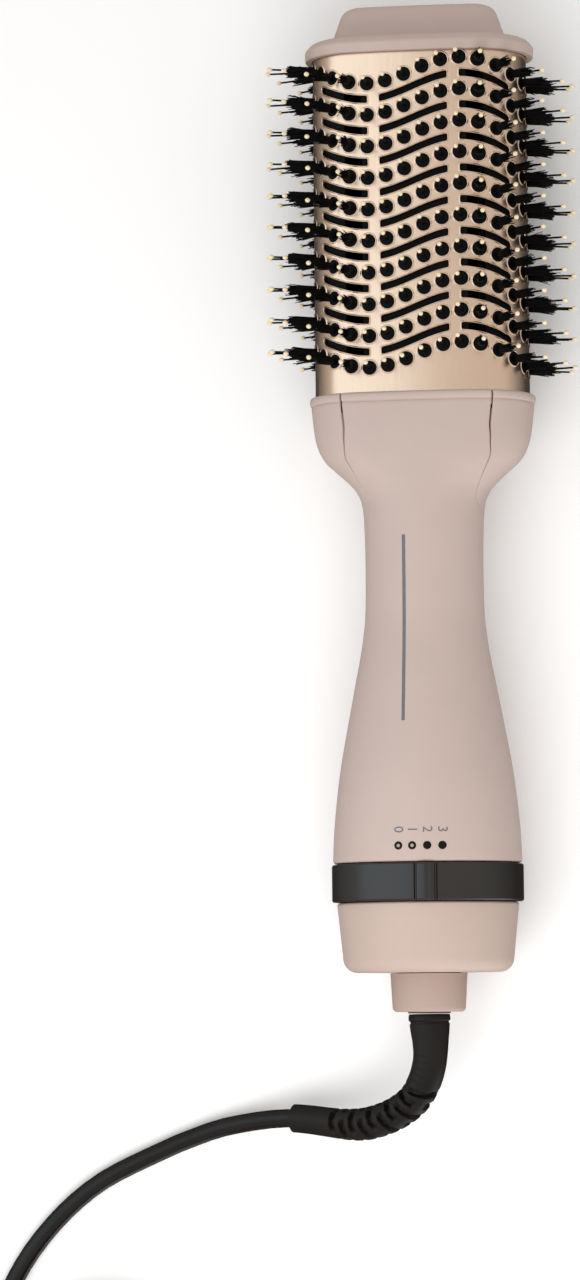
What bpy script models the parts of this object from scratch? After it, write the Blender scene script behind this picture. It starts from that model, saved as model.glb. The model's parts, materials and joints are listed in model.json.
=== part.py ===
"""Hot air brush: an oval perforated metal barrel with bristles, a waisted handle that holds the
fan motor, a rotary selector ring, and a swivelling mains lead.

The brush is modelled upright around its own long axis. One parent empty then lays it on its back on
the table: +Y points to the brush's tip, +Z is the front, which carries the selector marks, and +X is
the right-hand side seen from the front. Lengths below are in millimetres. A "station" is the
distance from the tip along the long axis. The lead's route is given in table coordinates.
"""

import math

import bmesh
import bpy
from mathutils import Matrix, Vector

MM = 0.001
GAP = 0.3  # left between pieces that touch

# Driving dimensions of the whole brush
BODY_LENGTH = 354.4  # from the cap's top to the end of the cord boss
AXIS_HEIGHT = 33.5  # of the long axis above the table, as the selector ring rests on it

# Barrel: an oval tube with two flat faces and two half-round sides
BARREL_HALF_WIDTH = 37.8
BARREL_HALF_DEPTH = 20.5
BARREL_WALL = 0.8
BARREL_TOP, BARREL_END = 15.0, 144.0
CAP_END = 19.3  # station of the cap rim's lower edge
LIP_TOP = 139.0  # station of the handle's lip, where the barrel goes in

# Bristle pattern: wavy rows around the barrel
ROW_COUNT = 10
FIRST_ROW, ROW_PITCH = 26.1, 11.125
COLUMN_PITCH = 6.49
WAVE_HEIGHT, WAVE_LENGTH = 4.2, 10 * COLUMN_PITCH
FACE_COLUMNS = 6  # columns of plain pins on each flat face
PIN_BASE_RADIUS, PIN_TIP_RADIUS = 0.9, 0.5
PIN_HOLE_RADIUS = 1.5
BRISTLE_HALF_WIDTH = 55.0
SLOT_WIDTH = 2.2
MIDDLE_SLOT_REACH = 11.8
SIDE_SLOT_START, SIDE_SLOT_END = 16.0, 34.5

# Handle
SHELL_WALL = 2.0
SHELL_END = 302.7
TONGUE = [  # down each side insert's edge: (station, half of its depth)
    (150.0, 19.8), (157.0, 19.1), (160.0, 18.2), (162.3, 17.2), (165.0, 15.8), (167.2, 14.4),
    (169.8, 12.6), (172.2, 11.3), (175.5, 9.9), (177.5, 8.2), (179.0, 4.9), (179.7, 2.4),
]
RING_TOP, RING_END = 303.1, 316.1
RING_RADIUS, RING_BORE = 33.5, 28.5
RING_MARK_ANGLE = math.radians(5.0)  # of the ring's ridge from the front, towards +X
SPIGOT_RADIUS, SPIGOT_BORE = 27.9, 25.9
BASE_END = 340.7
INTAKE_SLOTS = 16
DRIVER_TIP_RADIUS = 21.6  # of the driver's inner end, in the slider's fork
SWITCH_TOP, BOARD_FRONT = 18.6, 14.6  # how far the switch and its board stand in front of the axis
DUCT_RADIUS, DUCT_BORE = 24.6, 23.4
FAN_RADIUS, FAN_HUB_RADIUS = 22.9, 8.0
MOTOR_RADIUS = 12.0

# Heater
SHROUD_RADIUS = 17.0
BOARD_HALF_WIDTH, BOARD_THICKNESS = 13.0, 0.8
BOARD_TOP, BOARD_END = 116.0, 192.0

# Lead
CORD_RADIUS = 3.25
COIL_CENTRE = (-118.0, -325.0)
COIL_OUTER, COIL_INNER, COIL_HEIGHT = 47.3, 24.9, 21.5
RELIEF_LENGTH = 82.0
PLUG_ENTRY = (-52.0, -351.0, 8.5)
PLUG_HEADING = math.radians(20.0)
PLUG_LENGTH = 39.0
PLUG_PIN_LENGTH, PLUG_PIN_RADIUS, PLUG_PIN_SPACING = 18.7, 2.4, 19.0
LEAD_ROUTE = [
    (0.0, -178.0, 33.5),
    (0.0, -193.9, 33.2),
    (-3.9, -204.7, 31.0),
    (-10.2, -211.0, 28.0),
    (-19.6, -215.2, 24.0),
    (-30.1, -216.5, 19.5),
    (-53.3, -214.4, 11.0),
    (-75.2, -217.2, 5.2),
    (-89.3, -221.6, 3.5),
    (-99.7, -225.9, 3.3),
    (-117.0, -234.0, 3.3),
    (-127.5, -240.8, 3.3),
    (-138.0, -250.3, 3.3),
    (-148.5, -263.2, 3.3),
    (-156.3, -278.0, 3.3),
    (-159.6, -296.0, 3.3),
    (-160.5, -325.0, 3.3),
]
TAIL_ROUTE = [
    (-104.8, -374.3, 3.3),
    (-88.0, -368.5, 3.3),
    (-75.0, -361.2, 4.4),
    (-63.0, -355.2, 7.6),
    (-52.6, -351.2, 8.5),
]

SIDES = (("left", -1), ("right", 1))

FINISHES = {
    "matte_taupe": ((0.45, 0.34, 0.29), 0.55, 0.0),
    "matte_rose": ((0.60, 0.46, 0.40), 0.55, 0.0),
    "champagne_metal": ((0.75, 0.58, 0.42), 0.3, 1.0),
    "black_plastic": ((0.02, 0.02, 0.02), 0.35, 0.0),
    "black_nylon": ((0.015, 0.013, 0.013), 0.6, 0.0),
    "black_rubber": ((0.03, 0.03, 0.032), 0.6, 0.0),
    "grey_plastic": ((0.25, 0.25, 0.25), 0.5, 0.0),
    "mica": ((0.55, 0.45, 0.32), 0.6, 0.0),
    "resistance_wire": ((0.45, 0.42, 0.4), 0.35, 1.0),
    "steel": ((0.6, 0.6, 0.6), 0.3, 1.0),
    "circuit_board": ((0.03, 0.2, 0.08), 0.5, 0.0),
    "white_ceramic": ((0.8, 0.78, 0.74), 0.5, 0.0),
    "mesh_grey": ((0.12, 0.12, 0.12), 0.6, 0.3),
}


# ---------------------------------------------------------------- scene and objects


def clear_scene():
    for obj in list(bpy.data.objects):
        bpy.data.objects.remove(obj, do_unlink=True)


def new_collection(name):
    collection = bpy.data.collections.new(name)
    bpy.context.scene.collection.children.link(collection)
    return collection


def new_empty(name, location, rotation):
    empty = bpy.data.objects.new(name, None)
    empty.location = Vector(location) * MM
    empty.rotation_euler = rotation
    PARTS.objects.link(empty)
    return empty


def finish_material(name, finish):
    colour, roughness, metallic = FINISHES[finish]
    made = bpy.data.materials.new(f"{name}_{finish}")
    made.use_nodes = True
    shader = made.node_tree.nodes["Principled BSDF"]
    shader.inputs["Base Color"].default_value = (*colour, 1.0)
    shader.inputs["Roughness"].default_value = roughness
    shader.inputs["Metallic"].default_value = metallic
    return made


def add_object(name, data, finish, parent):
    """A finished piece, or a hidden cutter where finish is None."""
    obj = bpy.data.objects.new(name, data)
    obj.parent = parent
    if finish is None:
        CUTTERS.objects.link(obj)
        obj.hide_render = True
        obj.display_type = "WIRE"
    else:
        PARTS.objects.link(obj)
        data.materials.clear()
        data.materials.append(finish_material(name, finish))
    return obj


def mesh_object(name, bm, finish, parent):
    mesh = bpy.data.meshes.new(name)
    bm.to_mesh(mesh)
    bm.free()
    mesh.shade_smooth()
    mesh.set_sharp_from_angle(angle=math.radians(35))
    return add_object(name, mesh, finish, parent)


def height(station):
    """Millimetres above the brush's middle, along its own axis."""
    return BODY_LENGTH / 2 - station


def unchanged(value):
    """For pieces off the brush, whose profiles are given straight along their own axis."""
    return value


# ---------------------------------------------------------------- shapes


def turned(name, profile, finish, parent, steps=32, centre=(0.0, 0.0), level=height):
    """A solid turned about the long axis, or a line parallel to it.

    The profile is (radius, station), down the outer side, and level turns a station into a height.
    It closes on itself, unless it starts and ends on the axis.
    """
    count = len(profile)
    on_axis = profile[0][0] == 0
    edges = [(i, i + 1) for i in range(count - 1)]
    if not on_axis:
        edges.append((count - 1, 0))
    mesh = bpy.data.meshes.new(name)
    mesh.from_pydata([(r * MM, 0, level(s) * MM) for r, s in profile], edges, [])
    obj = add_object(name, mesh, finish, parent)
    obj.location = (centre[0] * MM, centre[1] * MM, 0)
    screw = obj.modifiers.new("turn", "SCREW")
    screw.steps = screw.render_steps = steps
    screw.use_merge_vertices = True
    screw.merge_threshold = 0.00001
    screw.use_smooth_shade = True
    return obj


def loft(name, sections, finish, parent, closed=False):
    """Skins rings of equal point counts. A closed loft joins its last ring to its first."""
    bm = bmesh.new()
    rings = [[bm.verts.new(Vector(p) * MM) for p in section] for section in sections]
    pairs = list(zip(rings, rings[1:]))
    if closed:
        pairs.append((rings[-1], rings[0]))
    else:
        bm.faces.new(rings[0])
        bm.faces.new(rings[-1])
    for upper, lower in pairs:
        for i, point in enumerate(upper):
            j = (i + 1) % len(upper)
            bm.faces.new((point, upper[j], lower[j], lower[i]))
    bmesh.ops.recalc_face_normals(bm, faces=bm.faces)
    return mesh_object(name, bm, finish, parent)


def block(name, low, high, finish, parent):
    """A box between two corners, each (x, y, station) on the brush."""
    bm = bmesh.new()
    bmesh.ops.create_cube(bm, size=1.0)
    a = Vector((low[0], low[1], height(low[2])))
    b = Vector((high[0], high[1], height(high[2])))
    size = Vector([abs(v) for v in b - a])
    move = Matrix.Translation((a + b) / 2 * MM) @ Matrix.Diagonal((*(size * MM), 1.0))
    bmesh.ops.transform(bm, matrix=move, verts=bm.verts)
    return mesh_object(name, bm, finish, parent)


def wire(name, points, radius, finish, parent, radii=None, resolution=2):
    """A round bar along points, in millimetres; radii are each point's own radius."""
    curve = bpy.data.curves.new(name, "CURVE")
    curve.dimensions = "3D"
    curve.bevel_depth = radius * MM
    curve.bevel_resolution = resolution
    curve.use_fill_caps = True
    spline = curve.splines.new("POLY")
    spline.points.add(len(points) - 1)
    for i, point in enumerate(points):
        spline.points[i].co = (*(Vector(point) * MM), 1.0)
        spline.points[i].radius = radii[i] / radius if radii else 1.0
    return add_object(name, curve, finish, parent)


def as_mesh(obj):
    """Turns a curve object into a mesh object of the same name, with its caps welded."""
    evaluated = obj.evaluated_get(bpy.context.evaluated_depsgraph_get())
    mesh = bpy.data.meshes.new_from_object(evaluated)
    bm = bmesh.new()
    bm.from_mesh(mesh)
    bmesh.ops.remove_doubles(bm, verts=bm.verts, dist=0.00001)
    bmesh.ops.recalc_face_normals(bm, faces=bm.faces)
    bm.to_mesh(mesh)
    bm.free()
    name, place, parent, home = obj.name, obj.matrix_world.copy(), obj.parent, obj.users_collection[0]
    bpy.data.objects.remove(obj)
    made = bpy.data.objects.new(name, mesh)
    made.parent = parent
    made.matrix_world = place
    home.objects.link(made)
    return made


def boolean(obj, other, operation):
    modifier = obj.modifiers.new(operation.lower(), "BOOLEAN")
    modifier.operation = operation
    modifier.object = other


def outline_plate(name, outline, low, high, finish, parent):
    """A flat plate whose outline is (x, station), between two depths along y."""
    sections = [[(x, y, height(s)) for x, s in outline] for y in (low, high)]
    return loft(name, sections, finish, parent)


def joined(name, bodies, finish, parent):
    """One mesh of several closed bodies, each a list of sections; for cutters and unions."""
    bm = bmesh.new()
    for sections in bodies:
        rings = [[bm.verts.new(Vector(p) * MM) for p in section] for section in sections]
        faces = [bm.faces.new(rings[0]), bm.faces.new(rings[-1])]
        for upper, lower in zip(rings, rings[1:]):
            for i, point in enumerate(upper):
                j = (i + 1) % len(upper)
                faces.append(bm.faces.new((point, upper[j], lower[j], lower[i])))
        bmesh.ops.recalc_face_normals(bm, faces=faces)
    return mesh_object(name, bm, finish, parent)


# ---------------------------------------------------------------- outlines


def oval_outline(half_width, half_depth, count):
    """A soft oval with slightly crowned faces; a circle where both halves are equal."""
    points = []
    for i in range(count):
        turn = 2 * math.pi * i / count
        flat = max(-1.0, min(1.0, 3 * math.cos(turn)))
        x = (half_width - half_depth) * flat + half_depth * math.cos(turn)
        points.append((x, half_depth * math.sin(turn)))
    return points


def oval(half_width, half_depth, station):
    """The brush's oval section at a station."""
    return [(x, y, height(station)) for x, y in oval_outline(half_width, half_depth, 32)]


def around(distance):
    """Where a distance along the barrel's surface from the front's middle lies: (x, angle from the front)."""
    flat = BARREL_HALF_WIDTH - BARREL_HALF_DEPTH
    beyond = max(0.0, abs(distance) - flat)
    angle = beyond / BARREL_HALF_DEPTH
    x = min(abs(distance), flat) + BARREL_HALF_DEPTH * math.sin(angle)
    return math.copysign(x, distance), angle


def wave(distance):
    """How far a row is shifted along the barrel at a distance around it."""
    return -WAVE_HEIGHT * math.sin(2 * math.pi * distance / WAVE_LENGTH)


def face_pins():
    """(x, station) of each plain pin on a flat face."""
    for row in range(ROW_COUNT):
        for column in range(FACE_COLUMNS):
            distance = (column - (FACE_COLUMNS - 1) / 2) * COLUMN_PITCH
            yield distance, FIRST_ROW + row * ROW_PITCH + wave(distance)


def smooth_route(points, spacing):
    """Points about spacing apart on a smooth curve through the given ones (Catmull-Rom)."""
    knots = [Vector(p) for p in points]
    knots = [2 * knots[0] - knots[1]] + knots + [2 * knots[-1] - knots[-2]]
    fine = []
    for a, b, c, d in zip(knots, knots[1:], knots[2:], knots[3:]):
        for i in range(20):
            t = i / 20
            fine.append(
                0.5 * (2 * b + (c - a) * t + (2 * a - 5 * b + 4 * c - d) * t**2)
                + 0.5 * (3 * b - a - 3 * c + d) * t**3
            )
    fine.append(knots[-2])
    along = [0.0]
    for a, b in zip(fine, fine[1:]):
        along.append(along[-1] + (b - a).length)
    count = max(2, round(along[-1] / spacing))
    return [at_length(fine, along, along[-1] * i / count) for i in range(count + 1)], fine, along


def at_length(fine, along, length):
    """The point at a length along a fine polyline."""
    for i in range(len(along) - 1):
        if along[i + 1] >= length:
            share = (length - along[i]) / max(along[i + 1] - along[i], 1e-9)
            return fine[i].lerp(fine[i + 1], share)
    return fine[-1]


# ---------------------------------------------------------------- head


def make_end_cap():
    """A raised plateau over a rounded rim that slips over the barrel's end."""
    flat = BARREL_HALF_WIDTH - BARREL_HALF_DEPTH
    outside = [
        (23.5, 0.0), (26.2, 0.5), (27.8, 2.2), (28.3, 4.5), (29.4, 7.4), (30.4, 10.3),
        (33.2, 10.9), (36.6, 12.2), (38.9, 14.0), (40.1, 16.4), (40.3, 18.6), (39.8, CAP_END),
    ]
    bore = BARREL_HALF_WIDTH + GAP
    inside = [(bore, CAP_END), (bore, 14.6), (28.0, 14.6), (26.5, 3.0), (22.5, 2.5)]
    sections = [oval(a, a - flat, s) for a, s in outside + inside]
    loft("end_cap", sections, "matte_taupe", BRUSH)


def slot_outline(start, end, station):
    """A slanting slot's outline as (x, station), between two distances around the barrel."""
    half = SLOT_WIDTH / 2
    (x1, _), (x2, _) = around(start), around(end)
    s1, s2 = station + wave(start), station + wave(end)
    return [(x1, s1 - half), (x2, s2 - half), (x2, s2 + half), (x1, s1 + half)]


def make_barrel():
    """The metal tube, with wavy rows of vent slots and a hole for each plain pin."""
    outer, inner = [(BARREL_HALF_WIDTH - w, BARREL_HALF_DEPTH - w) for w in (0, BARREL_WALL)]
    sections = [
        oval(*outer, BARREL_TOP), oval(*outer, BARREL_END),
        oval(*inner, BARREL_END), oval(*inner, BARREL_TOP),
    ]
    barrel = loft("barrel", sections, "champagne_metal", BRUSH, closed=True)
    cuts = []
    reach = BARREL_HALF_DEPTH + 5
    for row in range(ROW_COUNT - 1):
        station = FIRST_ROW + (row + 0.5) * ROW_PITCH
        spans = [(-MIDDLE_SLOT_REACH, MIDDLE_SLOT_REACH)]
        spans += [(SIDE_SLOT_START, SIDE_SLOT_END), (-SIDE_SLOT_END, -SIDE_SLOT_START)]
        for start, end in spans:
            outline = slot_outline(start, end, station)
            cuts.append([[(x, y, height(s)) for x, s in outline] for y in (-reach, reach)])
    for x, station in face_pins():
        cuts.append([diamond(x, y, station, PIN_HOLE_RADIUS) for y in (-reach, reach)])
    boolean(barrel, joined("barrel_cuts", cuts, None, BRUSH), "DIFFERENCE")


def diamond(x, y, station, radius):
    """Four corners of a pin's or a pin hole's section at a depth y."""
    return [
        (x + radius, y, height(station)), (x, y, height(station - radius)),
        (x - radius, y, height(station)), (x, y, height(station + radius)),
    ]


def make_pin_strips():
    """A strip inside each flat face carries that face's plain pins."""
    plate = BARREL_HALF_DEPTH - BARREL_WALL - 4 * GAP  # inside the face's crown
    half_width = 18.4
    top, end = BARREL_TOP + 3, FIRST_ROW + (ROW_COUNT - 1) * ROW_PITCH + 8
    for name, side in (("front_pin_strip", -1), ("rear_pin_strip", 1)):
        outline = [(-half_width, top), (half_width, top), (half_width, end), (-half_width, end)]
        strip = outline_plate(name, outline, side * (plate - 1.5), side * plate, "black_nylon", BRUSH)
        pins = []
        for x, station in face_pins():
            foot = diamond(x, side * (plate - 0.7), station, PIN_BASE_RADIUS)
            pins.append([foot, diamond(x, side * AXIS_HEIGHT, station, PIN_TIP_RADIUS)])
        boolean(strip, joined(f"{name}_pins", pins, None, BRUSH), "UNION")


def side_arc(side, radius_of, count=10, spread=80):
    """Points around one half-round side, from the front to the back: (x, y)."""
    flat = BARREL_HALF_WIDTH - BARREL_HALF_DEPTH
    points = []
    for i in range(count + 1):
        angle = math.radians(-spread + 2 * spread * i / count)
        radius = radius_of(angle)
        points.append((side * (flat + radius * math.cos(angle)), radius * math.sin(angle)))
    return points


def make_side_bristles():
    """Each side has a strip inside the barrel, and the field of tufts and pins outside it."""
    skin = BARREL_HALF_DEPTH - BARREL_WALL - GAP
    first = FIRST_ROW - WAVE_HEIGHT
    last = FIRST_ROW + (ROW_COUNT - 1) * ROW_PITCH + WAVE_HEIGHT
    top_reach = BRISTLE_HALF_WIDTH - (BARREL_HALF_WIDTH - BARREL_HALF_DEPTH)

    def field_radius(angle):
        return AXIS_HEIGHT + (top_reach - AXIS_HEIGHT) * math.cos(angle) ** 2

    for word, side in (("left", -1), ("right", 1)):
        inner = side_arc(side, lambda angle: skin - 1.5, spread=68)
        outer = side_arc(side, lambda angle: skin, spread=68)
        outline = outer + inner[::-1]
        ends = (first - 5, last + 5)
        sections = [[(x, y, height(s)) for x, y in outline] for s in ends]
        loft(f"{word}_tuft_strip", sections, "black_nylon", BRUSH)
        foot = side_arc(side, lambda angle: BARREL_HALF_DEPTH + GAP)
        tip = side_arc(side, field_radius)
        outline = tip + foot[::-1]
        ends = (first - 1.2, last + 3)
        sections = [[(x, y, height(s)) for x, y in outline] for s in ends]
        loft(f"{word}_bristle_field", sections, "black_nylon", BRUSH)


def make_head_frame():
    """The oval plate in the neck that carries the barrel and the heater shroud."""
    bore = SHROUD_RADIUS + 0.4
    sections = [oval(36.0, 19.2, 145.8), oval(36.0, 19.2, 148.3)]
    sections += [oval(bore, bore, 148.3), oval(bore, bore, 145.8)]
    loft("head_frame", sections, "grey_plastic", BRUSH, closed=True)


# ---------------------------------------------------------------- heater


def make_heater_board(name, slot_from_top, turn):
    """One of two mica boards that slot into each other to make a cross."""
    middle = (BOARD_TOP + BOARD_END) / 2
    slot = BOARD_THICKNESS / 2 + GAP
    w = BOARD_HALF_WIDTH
    if slot_from_top:
        outline = [
            (-w, BOARD_TOP), (-slot, BOARD_TOP), (-slot, middle + GAP), (slot, middle + GAP),
            (slot, BOARD_TOP), (w, BOARD_TOP), (w, BOARD_END), (-w, BOARD_END),
        ]
    else:
        outline = [
            (-w, BOARD_TOP), (w, BOARD_TOP), (w, BOARD_END), (slot, BOARD_END),
            (slot, middle - GAP), (-slot, middle - GAP), (-slot, BOARD_END), (-w, BOARD_END),
        ]
    half = BOARD_THICKNESS / 2
    board = outline_plate(name, outline, -half, half, "mica", BRUSH)
    board.rotation_euler = (0, 0, turn)


def make_heater():
    make_heater_board("heater_board_a", True, math.radians(45))
    make_heater_board("heater_board_b", False, math.radians(135))
    wall = 0.6
    tube = [
        (SHROUD_RADIUS, 112), (SHROUD_RADIUS, 198),
        (SHROUD_RADIUS - wall, 198), (SHROUD_RADIUS - wall, 112),
    ]
    turned("heater_shroud", tube, "mica", BRUSH, steps=24)
    turns, per_turn = 7, 10
    radius = BOARD_HALF_WIDTH + 1.7
    coil = []
    for i in range(turns * per_turn + 1):
        angle = 2 * math.pi * i / per_turn
        station = 122 + 58 * i / (turns * per_turn)
        coil.append((radius * math.cos(angle), radius * math.sin(angle), height(station)))
    wire("heating_coil", coil, 0.5, "resistance_wire", BRUSH, resolution=0)
    block("thermostat", (-2.6, 5.0, 164), (2.6, 8.2, 176), "white_ceramic", BRUSH)
    fuse = [(0, 164), (1.6, 164), (1.6, 176), (0, 176)]
    turned("thermal_fuse", fuse, "steel", BRUSH, steps=10, centre=(0.0, -6.5))
    ring = [(18.0, 198.4), (18.0, 201.0), (8.0, 201.0), (8.0, 198.4)]
    turned("heater_base", ring, "white_ceramic", BRUSH, steps=24)


# ---------------------------------------------------------------- handle


SHELL_STATIONS = [
    # (station, half width, half depth)
    (LIP_TOP, 39.2, 22.0), (139.6, 39.65, 22.45), (141.4, 39.65, 22.45), (142.0, 39.3, 22.2),
    (148.0, 38.7, 22.1), (153.5, 37.9, 22.0), (158.0, 36.5, 21.9), (161.5, 34.4, 21.8),
    (165.0, 30.7, 21.6), (168.5, 26.8, 21.5), (172.0, 23.7, 21.3), (176.5, 21.7, 21.15),
    (183.0, 21.0, 20.95), (200.5, 20.65, 20.65), (214.0, 20.85, 20.85), (224.4, 21.85, 21.85),
    (240.2, 24.7, 24.7), (256.0, 27.7, 27.7), (271.8, 30.45, 30.45), (284.0, 31.9, 31.9),
    (294.0, 32.75, 32.75), (SHELL_END, 33.0, 33.0),
]
BARREL_SOCKET_END = 145.2


def handle_wall(name, finish):
    """The whole hollow handle, before it is split into its shells and inserts."""
    socket = (BARREL_HALF_WIDTH + GAP, BARREL_HALF_DEPTH + GAP)
    outer = [oval(a, b, s) for s, a, b in SHELL_STATIONS]
    inner = [oval(a - SHELL_WALL, b - SHELL_WALL, s) for s, a, b in SHELL_STATIONS if s > 147]
    inner = [oval(*socket, LIP_TOP), oval(*socket, BARREL_SOCKET_END)] + [
        oval(36.9, 20.0, BARREL_SOCKET_END + 0.4)
    ] + inner
    return loft(name, outer + inner[::-1], finish, BRUSH, closed=True)


def tongue_outline(margin):
    """The side insert's outline as (y, station): it narrows with the neck to a rounded tip."""
    edge = [(130.0, 20.0)] + [(station, half) for station, half in TONGUE]
    right = [(half + margin, station) for station, half in edge]
    tip = (0.0, 180.0 + margin)
    return right + [tip] + [(-y, station) for y, station in right[::-1]]


def tongue_cutter(name, side, margin):
    outline = tongue_outline(margin)
    ends = (side * 8.0, side * 60.0)
    sections = [[(x, y, height(s)) for y, s in outline] for x in ends]
    return joined(name, [sections], None, BRUSH)


def make_handle_shells():
    """Front and rear shells that meet at the sides, and a tongue-shaped insert on each side."""
    wide = [tongue_cutter(f"tongue_space_{word}", side, GAP / 2) for word, side in SIDES]
    for name, side in (("front_shell", -1), ("rear_shell", 1)):
        shell = handle_wall(name, "matte_rose")
        near, far = side * GAP / 2, side * 60.0
        half = [
            [(x, y, height(s)) for x, s in ((-60, 120), (60, 120), (60, 320), (-60, 320))]
            for y in (near, far)
        ]
        boolean(shell, joined(f"{name}_half", [half], None, BRUSH), "INTERSECT")
        for cutter in wide:
            boolean(shell, cutter, "DIFFERENCE")
    for word, side in SIDES:
        insert = handle_wall(f"{word}_neck_insert", "matte_rose")
        boolean(insert, tongue_cutter(f"tongue_{word}", side, -GAP / 2), "INTERSECT")


def make_motor_mount():
    """A duct with stator vanes that hold a cup for the motor."""
    cup, cup_end = MOTOR_RADIUS + GAP, 276.0
    duct = [(DUCT_RADIUS, 263), (DUCT_RADIUS, 291), (DUCT_BORE, 291), (DUCT_BORE, 263)]
    mount = turned("motor_mount", duct, "black_plastic", BRUSH, steps=32)
    hub = [
        (cup + 1.6, 264), (cup + 1.6, cup_end), (2.2, cup_end), (2.2, cup_end - 1.6),
        (cup, cup_end - 1.6), (cup, 264),
    ]
    boolean(mount, turned("motor_cup", hub, None, BRUSH, steps=24), "UNION")
    vanes = []
    for i in range(7):
        turn = Matrix.Rotation(2 * math.pi * i / 7, 3, "Z")
        near, far = cup + 0.8, (DUCT_RADIUS + DUCT_BORE) / 2
        rings = []
        for station, skew in ((265, 1.5), (274, -1.5)):
            corners = [(near, skew - 0.6), (far, skew - 0.6), (far, skew + 0.6), (near, skew + 0.6)]
            rings.append([turn @ Vector((x, y, height(station))) for x, y in corners])
        vanes.append(rings)
    boolean(mount, joined("stator_vanes", vanes, None, BRUSH), "UNION")
    holes = []
    for x in (-8.0, 8.0):
        corners = [(x - 1.4, -1.4), (x + 1.4, -1.4), (x + 1.4, 1.4), (x - 1.4, 1.4)]
        holes.append([[(a, b, height(s)) for a, b in corners] for s in (270, 280)])
    boolean(mount, joined("motor_screw_holes", holes, None, BRUSH), "DIFFERENCE")


def make_motor():
    can = [(0, 244), (4, 244), (4, 245.5), (11, 245.5), (MOTOR_RADIUS, 246.5), (MOTOR_RADIUS, 273.4),
           (11.4, 274.0), (0, 274.0)]
    turned("motor", can, "steel", BRUSH, steps=20)
    for word, side in SIDES:
        screw = [(0, 274.3), (1.1, 274.3), (1.1, 276.3), (1.9, 276.3), (1.9, 277.5), (0, 277.5)]
        turned(f"motor_screw_{word}", screw, "steel", BRUSH, steps=10, centre=(side * 8.0, 0))
    shaft = [(0, 274.4), (1.5, 274.4), (1.5, 291.0), (0, 291.0)]
    turned("motor_shaft", shaft, "steel", BRUSH, steps=12)
    hub = [
        (6.0, 278.6), (FAN_HUB_RADIUS, 280.5), (FAN_HUB_RADIUS, 290.2),
        (1.6, 290.2), (1.6, 278.6),
    ]
    fan = turned("fan_impeller", hub, "grey_plastic", BRUSH, steps=24)
    blades = []
    for i in range(9):
        rings = []
        for radius in (FAN_HUB_RADIUS - 0.8, FAN_RADIUS):
            lean = math.radians(24 if radius < 10 else 14)
            turn = Matrix.Rotation(2 * math.pi * i / 9, 3, "Z")
            run = 4.4 / math.cos(lean) * math.sin(lean) * 2
            corners = [(run / 2, 281.2), (run / 2 + 1.0, 281.2), (-run / 2 + 1.0, 289.6), (-run / 2, 289.6)]
            rings.append([turn @ Vector((radius, a, height(s))) for a, s in corners])
        blades.append(rings)
    boolean(fan, joined("fan_blades", blades, None, BRUSH), "UNION")


def make_selector():
    """The selector ring, its driver, and the slide switch that the driver moves."""
    edge = 0.8
    ring = [
        (RING_RADIUS - edge, RING_TOP), (RING_RADIUS, RING_TOP + edge),
        (RING_RADIUS, RING_END - edge), (RING_RADIUS - edge, RING_END),
        (RING_BORE, RING_END), (RING_BORE, RING_TOP),
    ]
    body = turned("selector_ring", ring, "black_plastic", BRUSH, steps=40)
    half, crown = 3.6, 0.9
    corners = [(-half, RING_RADIUS - 2), (half, RING_RADIUS - 2), (half - 0.5, RING_RADIUS + crown - 0.3),
               (0, RING_RADIUS + crown), (-half + 0.5, RING_RADIUS + crown - 0.3)]
    turn = Matrix.Rotation(RING_MARK_ANGLE, 3, "Z")
    ridge = [[turn @ Vector((x, -y, height(s))) for x, y in corners] for s in (RING_TOP + 1, RING_END - 1)]
    boolean(body, joined("ring_ridge", [ridge], None, BRUSH), "UNION")
    tip = DRIVER_TIP_RADIUS
    corners = [(-2.5, tip), (2.5, tip), (2.5, RING_BORE - GAP), (-2.5, RING_BORE - GAP)]
    driver = [[turn @ Vector((x, -y, height(s))) for x, y in corners] for s in (307.6, 311.6)]
    loft("ring_driver", driver, "black_plastic", BRUSH)
    middle = (tip + 0.6) * math.sin(RING_MARK_ANGLE)
    prong, inner = 4.8, 3.2
    fork = [(-prong, SWITCH_TOP + GAP), (prong, SWITCH_TOP + GAP), (prong, 22.9), (inner, 22.9),
            (inner, 20.0), (-inner, 20.0), (-inner, 22.9), (-prong, 22.9)]
    slider = [[(middle + x, -y, height(s)) for x, y in fork] for s in (306.9, 312.3)]
    loft("switch_slider", slider, "white_ceramic", BRUSH)
    block("mode_switch", (-13, -SWITCH_TOP, 304.5), (13, -BOARD_FRONT - GAP, 314.5), "black_plastic", BRUSH)
    block("control_board", (-14, -BOARD_FRONT, 295), (14, -BOARD_FRONT + 1.6, 326), "circuit_board", BRUSH)
    make_detent_spring()


def make_detent_spring():
    """A bowed wire between the shells and the ring that gives the ring its clicks."""
    count, reach, radius = 12, math.radians(25), 29.3
    foot, rise = 299.6, 2.6
    bow = []
    for i in range(count + 1):
        share = 2 * i / count - 1
        angle, station = reach * share, foot + rise * math.cos(math.pi / 2 * share)
        bow.append((radius * math.cos(angle), radius * math.sin(angle), height(station)))
    wire("detent_spring", bow, 0.4, "steel", BRUSH, resolution=0)


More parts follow.
